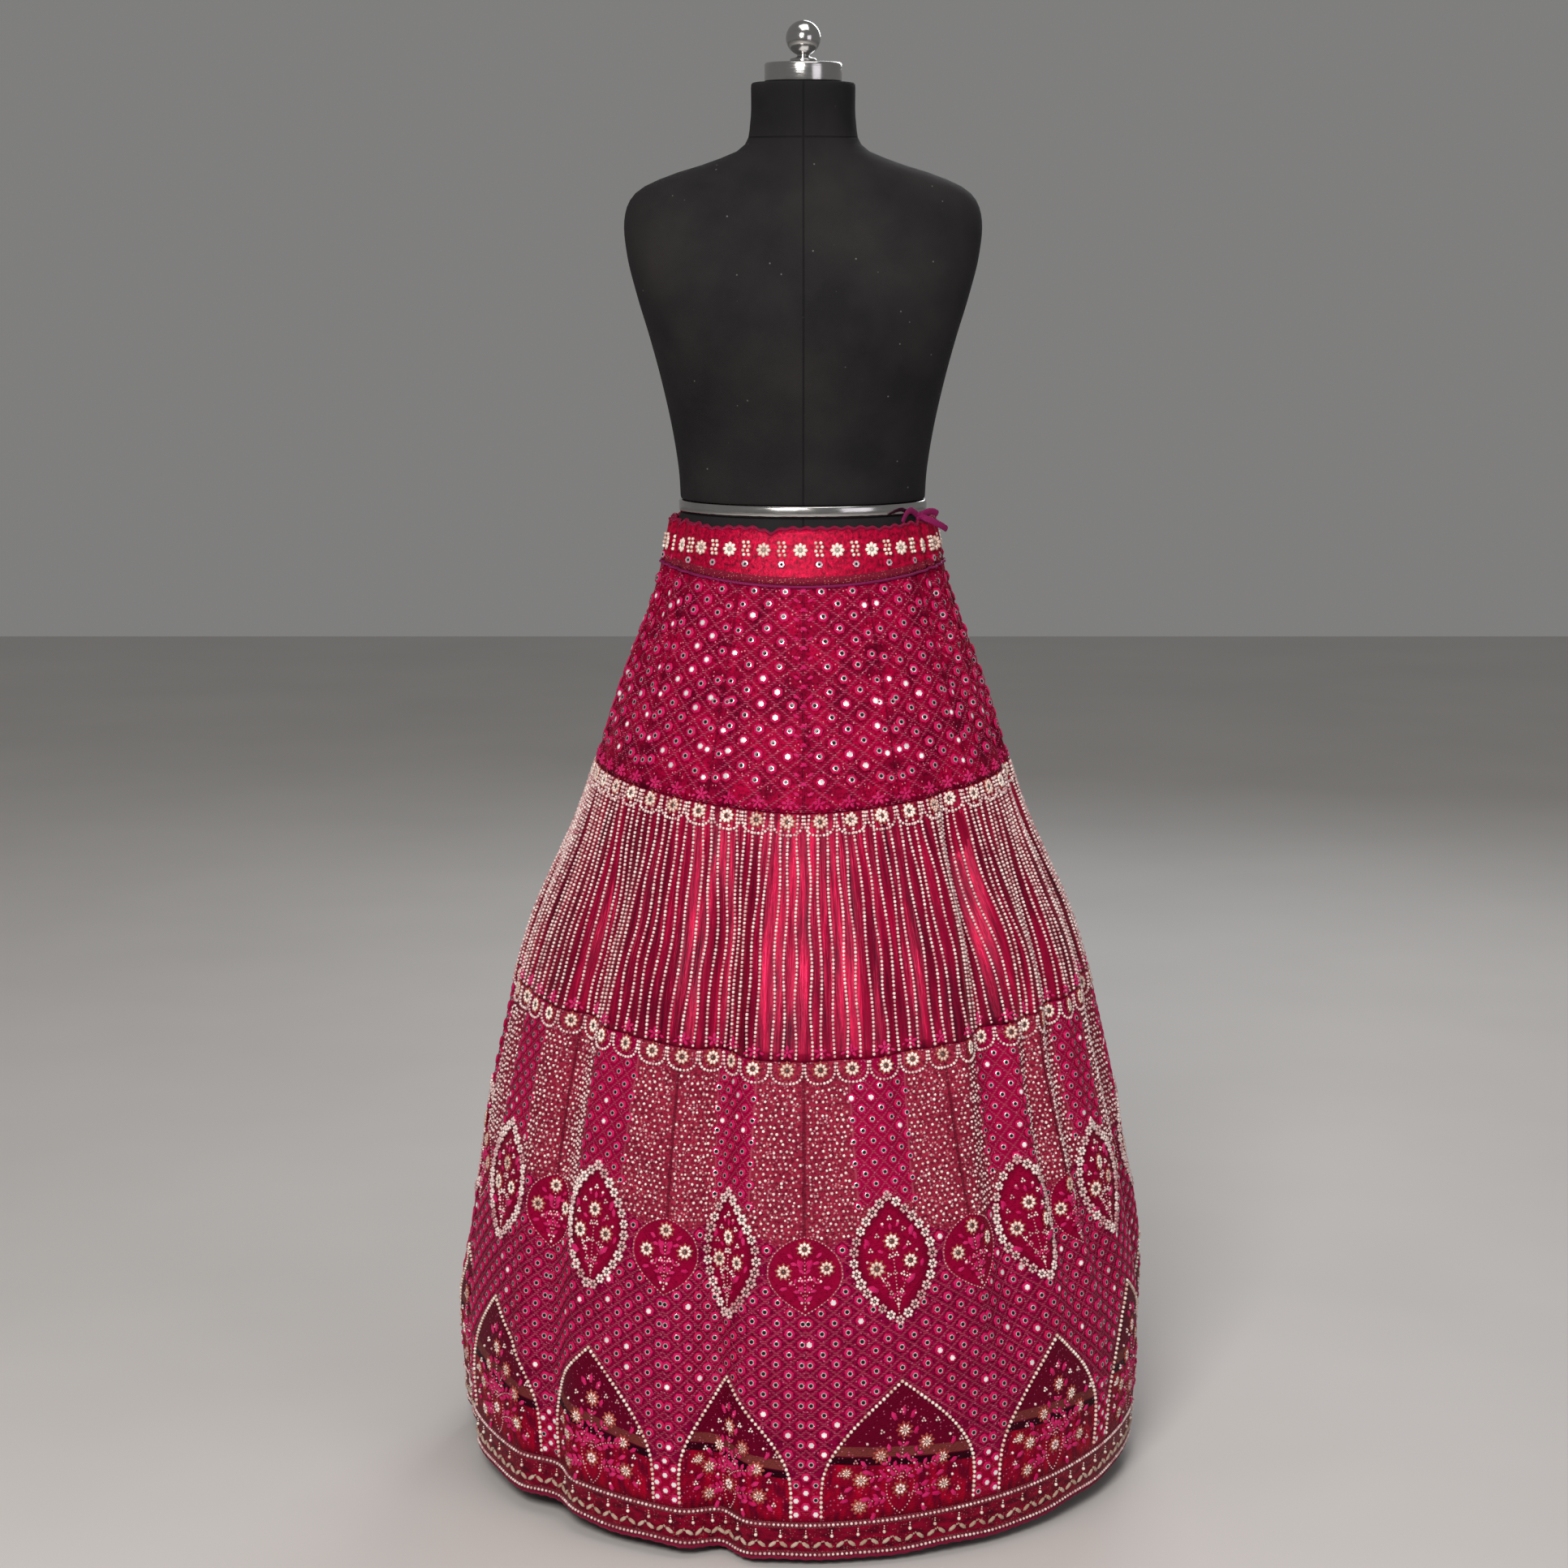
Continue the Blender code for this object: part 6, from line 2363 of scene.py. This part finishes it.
    def _arches(self) -> list[Item]:
        """Beads along each arch, and pearls round each heart.

        Returns:
            Two pieces.
        """
        p, arches, hearts = self.palette, [], []
        for kali in range(KALIS):
            for side in (-1, 1):
                height = np.linspace(ARCH[0][0], ARCH[-1][0], 40)
                arches.append((CLOTH.angle_in_kali(kali, side * half_width(ARCH, height), height), height))
                height = np.linspace(HEART[0][0], HEART[-1][0], 30)
                hearts.append((CLOTH.angle_at_seam(kali, side * half_width(HEART, height), height), height))
        sew = self.sewing.on_lines
        return [
            sew("arch_bead_lines", arches, self.arch_pitch, PEARL, p.cream, Slot.LOWER, seed=13),
            sew("heart_bead_lines", hearts, self.heart_pitch, STEM_BEAD, p.rose, Slot.LOWER, seed=14),
        ]

    def _bouquets(self) -> list[Item]:
        """Flowers, stems, pearls and thread leaves inside the leaves, hearts and arches.

        Returns:
            One piece for each kind.
        """
        p, in_kali, at_seam = self.palette, CLOTH.angle_in_kali, CLOTH.angle_at_seam

        def spread(angle_of: Callable, rows: Rows) -> list[Places]:
            """Places of the rows of a bouquet, on every kali."""
            x, height, spin, size = np.array([(*row, *(0.0, 1.0)[len(row) - 2 :]) for row in rows]).T
            x, height = x / 1000, height / 1000
            return [Places(angle_of(kali, x, height), height, spin, size) for kali in range(KALIS)]

        leaf, arch, heart = LEAF_BOUQUET, ARCH_BOUQUET, HEART_BOUQUET
        rings = spread(in_kali, leaf.flowers) + spread(at_seam, heart.flowers)
        stars = spread(in_kali, arch.flowers)
        vase = spread(in_kali, ((0, 78.5),))
        beads = spread(in_kali, leaf.pearls + arch.pearls) + spread(at_seam, heart.pearls)
        trios = spread(in_kali, leaf.trios + arch.trios) + spread(at_seam, heart.trios)
        leaves = spread(in_kali, leaf.leaf_rows() + arch.leaf_rows()) + spread(at_seam, heart.leaf_rows())
        stems = []
        for angle_of, bouquet in ((in_kali, leaf), (in_kali, arch), (at_seam, heart)):
            for stem in bouquet.stems:
                x, height = np.array(stem.at(np.linspace(0.0, 1.0, 14))) / 1000
                stems += [(angle_of(kali, x, height), height) for kali in range(KALIS)]
        pieces = [
            self.sewing.on_places(name, places, motif, material, Slot.LOWER, seed)
            for name, places, motif, material, seed in (
                ("bouquet_halos", rings + stars + vase, HALO, p.rosy_gold, 21),
                ("bouquet_flowers", rings, RING_FLOWER, p.cream, 15),
                ("arch_flowers", stars, STAR_FLOWER, p.cream, 22),
                ("vase_flowers", vase, VASE_FLOWER, p.silver, 24),
                ("bouquet_pearls", beads, SEED_BEAD, p.silver, 16),
                ("pearl_trios", trios, PEARL_TRIO, p.silver, 25),
                ("bouquet_leaves", leaves, THREAD_LEAF, p.magenta, 17),
            )
        ]
        args = (self.stem_pitch, STEM_BEAD, p.rose, Slot.LOWER)
        return [*pieces, self.sewing.on_lines("bouquet_stems", stems, *args, seed=23)]


@dataclass
class HemBorder:
    """Border band with bead lines, a leaf vine, an edging and the satin facing behind it."""

    palette: Palette
    sewing: Sewing
    bead_lines: tuple[float, ...] = (0.0466, 0.0136)
    bead_pitch: float = 0.0046
    vine_height: float = 0.0245
    vine_pitch: float = 0.0102
    vine_slant: float = 36.0
    drop_pitch: float = 0.0232
    drop_height: float = 0.0345
    edging: float = 0.0021
    edging_rise: float = 0.0006
    edging_out: float = -0.001
    edging_wave: float = 0.0011
    edging_waves: int = 180
    wall: float = 0.002
    facing_top: float = 0.1038
    facing_bottom: float = 0.01
    facing_wall: float = 0.001
    facing_gap: float = 0.001

    def build(self, tier_above: Item) -> None:
        """Build the border and its facing.

        Args:
            tier_above: The tier that it hangs from; not used.
        """
        p = self.palette
        border = Shell("skirt_hem_border", level(BORDER_SEAM - SEAM_GAP), hem_edge, 6, 2).build(p.border, Slot.BORDER)
        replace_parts(border, "hem_border_front", "hem_border_back")
        edges = (level(self.facing_top), level(self.facing_bottom))
        shell = Shell("skirt_hem_facing", *edges, 4, 3, self.facing_wall, -(self.wall + self.facing_gap))
        facing = shell.build(p.facing, Slot.FACING)
        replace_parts(facing, "hem_facing")
        sewn = self._beads_and_vine()
        angle = turns(720)
        wave = self.edging_wave * np.abs(np.sin(np.radians(angle * self.edging_waves / 2)))
        height = hem_edge(angle) + self.edging_rise + wave
        edging = roll("hem_edging", height, self.edging_out, self.edging, p.braid, Slot.BORDER)

    def _beads_and_vine(self) -> list[Item]:
        """Bead lines along both edges, the vine of slanting leaves, and the pearl drops above it.

        Returns:
            The new pieces.
        """
        p, sew = self.palette, self.sewing
        angle = turns(420)
        lines = [(angle, height + hem_sway(angle, height)) for height in self.bead_lines]
        lines = [(np.append(a, 360.0), np.append(h, h[0])) for a, h in lines]
        beads = sew.on_lines("hem_bead_lines", lines, self.bead_pitch, SEED_BEAD, p.silver, Slot.BORDER, seed=18)
        length = 360.0 * CLOTH.metres_a_degree(self.vine_height)
        count = 2 * round(length / self.vine_pitch / 2)
        angle = turns(count)
        slant = np.where(np.arange(count) % 2 == 0, -self.vine_slant, 180.0 + self.vine_slant)
        leaves = [Places(angle, self.vine_height + hem_sway(angle, self.vine_height), slant)]
        vine = sew.on_places("hem_leaf_vine", leaves, VINE_LEAF, p.gold, Slot.BORDER, seed=19)
        drops = [Places(turns(round(length / self.drop_pitch)), self.drop_height)]
        return [beads, vine, sew.on_places("hem_pearl_drops", drops, PEARL_DROP, p.cream, Slot.BORDER, seed=20)]


# ---------------------------------------------------------------- the dress form
@dataclass
class DressForm:
    """Limbless form with a neck, a waist ring, a cap and finial, on a pole and a base plate.

    Sections are rows of height, half width, front and back depth, and squareness.
    """

    palette: Palette
    columns: int = 96
    upper: Rows = (
        (1.482, 0.0545, 0.0545, 0.0545, 2), (1.44, 0.0555, 0.055, 0.056, 2),
        (1.415, 0.064, 0.058, 0.062, 2), (1.4, 0.098, 0.062, 0.068, 2.1), (1.386, 0.142, 0.067, 0.073, 2.2),
        (1.37, 0.174, 0.074, 0.078, 2.4), (1.345, 0.187, 0.085, 0.083, 2.6),
        (1.305, 0.185, 0.1, 0.087, 2.6), (1.26, 0.174, 0.115, 0.089, 2.5), (1.22, 0.162, 0.12, 0.089, 2.4),
        (1.175, 0.15, 0.112, 0.088, 2.3), (1.125, 0.139, 0.101, 0.088, 2.2),
        (1.08, 0.132, 0.097, 0.089, 2.1), (1.0485, 0.13, 0.097, 0.09, 2),
    )
    hip: Rows = (
        (1.035, 0.13, 0.0985, 0.0985, 2), (1.012, 0.1386, 0.1136, 0.1136, 2),
        (0.99, 0.143, 0.1188, 0.1188, 2), (0.91, 0.156, 0.133, 0.133, 2), (0.875, 0.164, 0.143, 0.143, 2),
        (0.84, 0.164, 0.144, 0.144, 2), (0.812, 0.156, 0.137, 0.137, 2), (0.8, 0.144, 0.126, 0.126, 2),
    )
    ring: Rows = (
        (1.048, 0), (1.0474, 0.0012), (1.0455, 0.0019), (1.038, 0.0019), (1.0361, 0.0012), (1.0355, 0),
    )
    ring_section: float = 1.0485
    neck_top: float = 1.482
    cap_radius: float = 0.0405
    cap_height: float = 0.02
    ball_radius: float = 0.0182
    ball_rise: float = 0.0245
    stem_radius: float = 0.014
    pole_radius: float = 0.016
    pole_top: float = 0.8
    socket_radius: float = 0.03
    socket_top: float = 0.04
    plate_radius: float = 0.16
    plate_top: float = 0.009

    def build(self) -> Item:
        """Build the form and return the hip part, which the skirt rests on.

        Returns:
            The hip part.
        """
        p, top = self.palette, self.neck_top
        rows = [(top, -0.004), (top - 0.0006, -0.0016), (top - 0.0022, -0.0003)]
        rows += [(z, 0.0) for z in np.linspace(top - 0.006, 1.052, 60)]
        rows += [(1.05, -0.0003), (1.0489, -0.0012), (1.0485, -0.003)]
        upper = self._lathe("form_body", self.upper, rows, p.jersey, Slot.JERSEY)
        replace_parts(upper, "form_upper")
        rows = [(1.035, -0.002), (1.0344, -0.0006)] + [(z, -0.0002) for z in np.linspace(1.033, 0.8, 30)]
        hip = self._lathe("form_hip", self.hip, rows, p.jersey, Slot.JERSEY)
        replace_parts(hip, "form_lower")
        ring = self._lathe("form_ring", self.upper, self.ring, p.chrome, Slot.CHROME, self.ring_section)
        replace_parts(ring, "form_waist_ring")
        self._head()
        self._stand()
        return hip

    def _lathe(
        self,
        name: str,
        table: Rows,
        rows: Rows,
        material: Material,
        slot: Slot,
        section_height: float | None = None,
    ) -> Item:
        """A closed solid through smooth sections.

        Args:
            name: Name of the piece.
            table: Height, half width, front and back depth, and squareness, from the top down.
            rows: Height and outset of each ring, from the top down.
            material: Its finish.
            slot: The record's slot of that finish.
            section_height: Height whose section every ring takes, where it is one for all.

        Returns:
            The piece.
        """
        turn = 2 * np.pi * np.arange(self.columns) / self.columns
        sine, cosine = np.sin(turn), np.cos(turn)
        points = []
        for height, outset in rows:
            at = np.array([height if section_height is None else section_height])
            width, front, back, square = (float(table_value(table, k, at)[0]) for k in range(1, 5))
            power = 2.0 / square
            depth = np.where(cosine > 0, front, back) + outset
            x = (width + outset) * np.sign(sine) * np.abs(sine) ** power
            y = -depth * np.sign(cosine) * np.abs(cosine) ** power
            points.append(np.stack([x, y, np.full_like(x, height)], axis=-1))
        faces = [face[::-1] for face in tube_faces(len(rows), self.columns, closed=False)]
        return add_piece(name, np.concatenate(points), faces, material, slot)

    def _turned(self, name: str, profile: Rows, material: Material, slot: Slot, sides: int = 64) -> Item:
        """A turned piece from (radius, height) points, from the top of its axis to the bottom.

        Args:
            name: Name of the piece.
            profile: Radius and height of each ring, from the top down.
            material: Its finish.
            slot: The record's slot of its finish.
            sides: Points in each ring.

        Returns:
            The piece.
        """
        turn = 2 * np.pi * np.arange(sides) / sides
        rings = [(radius, height) for radius, height in profile if radius > 0]
        points = [(radius * math.sin(t), -radius * math.cos(t), height) for radius, height in rings for t in turn]
        faces = [face[::-1] for face in tube_faces(len(rings), sides, closed=False)]
        return add_piece(name, np.array(points), faces, material, slot)

    @staticmethod
    def _corner(radius: float, height: float, inset: float, drop: float, steps: int = 5) -> list[Pair]:
        """A rounded outer corner of a profile, going down and outwards when drop is positive."""
        turn = np.linspace(0.0, np.pi / 2, steps)
        return [(radius - inset + inset * math.sin(t), height - drop + drop * math.cos(t)) for t in turn]

    def _head(self) -> None:
        """Cap of the neck, with the finial on it."""
        chrome, radius, ball = self.palette.chrome, self.cap_radius, self.ball_radius
        foot = self.neck_top + SEAM_GAP
        top = foot + self.cap_height
        cap = [(0.001, top + 0.0006), (0.03, top + 0.0004), *self._corner(radius, top, 0.003, 0.003)]
        cap += [*self._corner(radius, foot, 0.0016, -0.0016)[::-1], (0.001, foot)]
        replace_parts(self._turned("form_cap", cap, chrome, Slot.CHROME), "form_neck_cap")
        base = top + SEAM_GAP
        turn = np.linspace(0.03, 2.79, 20)
        finial = [(ball * math.sin(t), base + self.ball_rise + ball * math.cos(t)) for t in turn]
        finial += [(0.0064, base + 0.0066), (0.0066, base + 0.0058), (0.008, base + 0.005)]
        finial += self._corner(self.stem_radius, base + 0.004, 0.002, 0.002, 4)
        finial += [(self.stem_radius, base + 0.0004), (0.001, base)]
        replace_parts(self._turned("form_ball", finial, chrome, Slot.CHROME, 48), "form_finial")

    def _stand(self) -> None:
        """Pole and base plate."""
        top, low, radius = self.pole_top - SEAM_GAP, self.socket_top + SEAM_GAP, self.pole_radius
        pole = [(0.001, top), (radius, top), (radius, 0.1004), (radius, low), (0.001, low)]
        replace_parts(self._turned("form_post", pole, self.palette.chrome, Slot.CHROME, 48), "form_pole")
        plate = [(0.001, self.socket_top), *self._corner(self.socket_radius, self.socket_top, 0.003, 0.003)]
        plate += [(self.socket_radius, 0.0125), (0.031, 0.01), (0.033, 0.0092)]
        plate += self._corner(self.plate_radius, self.plate_top, 0.004, 0.004)
        plate += [(self.plate_radius, 0.001), (0.159, 0.0), (0.001, 0.0)]
        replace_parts(self._turned("form_plate", plate, self.palette.steel, Slot.STEEL, 96), "form_base")


# ---------------------------------------------------------------- studio
@dataclass
class Studio:
    """Camera, floor and soft lights, each with a name, a place, a size in metres, watts and a colour."""

    camera_at: Point = (-0.02, -3.5, 1.35)
    camera_pitch: float = 9.9
    lens: float = 75.4
    sensor: float = 36.0
    floor_size: float = 14.0
    world: Colour = (0.8, 0.79, 0.78)
    world_strength: float = 0.265
    lights: tuple[tuple, ...] = (
        ("key", (-0.6, -3.4, 2.5), 1.1, 120.0, (1.0, 0.96, 0.93)),
        ("fill", (2.3, -2.7, 1.6), 1.6, 11.0, (0.96, 0.92, 0.99)),
        ("top", (0.2, -0.6, 3.6), 1.8, 24.0, (1.0, 0.98, 0.96)),
        ("rim", (0.8, 3.0, 2.4), 1.4, 30.0, (0.95, 0.97, 1.0)),
    )
    aim: Point = (0.0, 0.0, 0.75)

    def build(self) -> None:
        """Build all of it."""
        scene = bpy.context.scene
        camera = bpy.data.cameras.new("camera")
        camera.lens, camera.sensor_width, camera.sensor_fit = self.lens, self.sensor, "HORIZONTAL"
        item = bpy.data.objects.new("camera", camera)
        item.location = self.camera_at
        item.rotation_euler = (math.radians(90.0 - self.camera_pitch), 0.0, 0.0)
        scene.collection.objects.link(item)
        scene.camera = item
        scene.view_settings.view_transform = "Standard"
        world = bpy.data.worlds.new("studio")
        world.use_nodes = True
        background = world.node_tree.nodes["Background"]
        background.inputs["Color"].default_value = (*self.world, 1.0)
        background.inputs["Strength"].default_value = self.world_strength
        scene.world = world
        half = self.floor_size / 2
        floor = bpy.data.meshes.new("floor")
        corners = [(x * half, y * half, 0.0) for x, y in ((-1, -1), (1, -1), (1, 1), (-1, 1))]
        floor.from_pydata(corners, [], [(0, 1, 2, 3)])
        floor.materials.append(PaleFloor().make())
        stage = bpy.data.objects.new("floor", floor)
        scene.collection.objects.link(stage)
        for light in self.lights:
            self._light(*light)

    def _light(self, name: str, place: Point, size: float, power: float, tint: Colour) -> None:
        """Add a soft square light that faces the middle of the skirt.

        Args:
            name: Name of the light.
            place: Where it is.
            size: Length of its sides.
            power: Its power in watts.
            tint: Its colour.
        """
        lamp = bpy.data.lights.new(name, "AREA")
        lamp.shape, lamp.size, lamp.energy, lamp.color = "SQUARE", size, power, tint
        item = bpy.data.objects.new(name, lamp)
        item.location = place
        item.rotation_euler = (Vector(self.aim) - Vector(place)).to_track_quat("-Z", "Y").to_euler()
        bpy.context.scene.collection.objects.link(item)


def main() -> None:
    """Build the studio, the cords, the form and the skirt."""
    logging.basicConfig(level=logging.INFO, format="%(message)s")
    Studio().build()
    palette = Palette()
    Drawstring(palette).build()
    sewing = Sewing()
    hip = DressForm(palette).build()
    band = Waistband(palette, sewing).build(hip)
    upper = UpperTier(palette, sewing).build(band)
    middle = MiddleTier(palette, sewing).build(upper)
    lower = LowerTier(palette, sewing).build(middle)
    HemBorder(palette, sewing).build(lower)
    ScallopTrim(palette, sewing, "upper", "upper_scallop_trim", UPPER_SEAM, 46).build()
    ScallopTrim(palette, sewing, "lower", "lower_scallop_trim", LOWER_SEAM, 64).build()


if __name__ == "__main__":
    main()
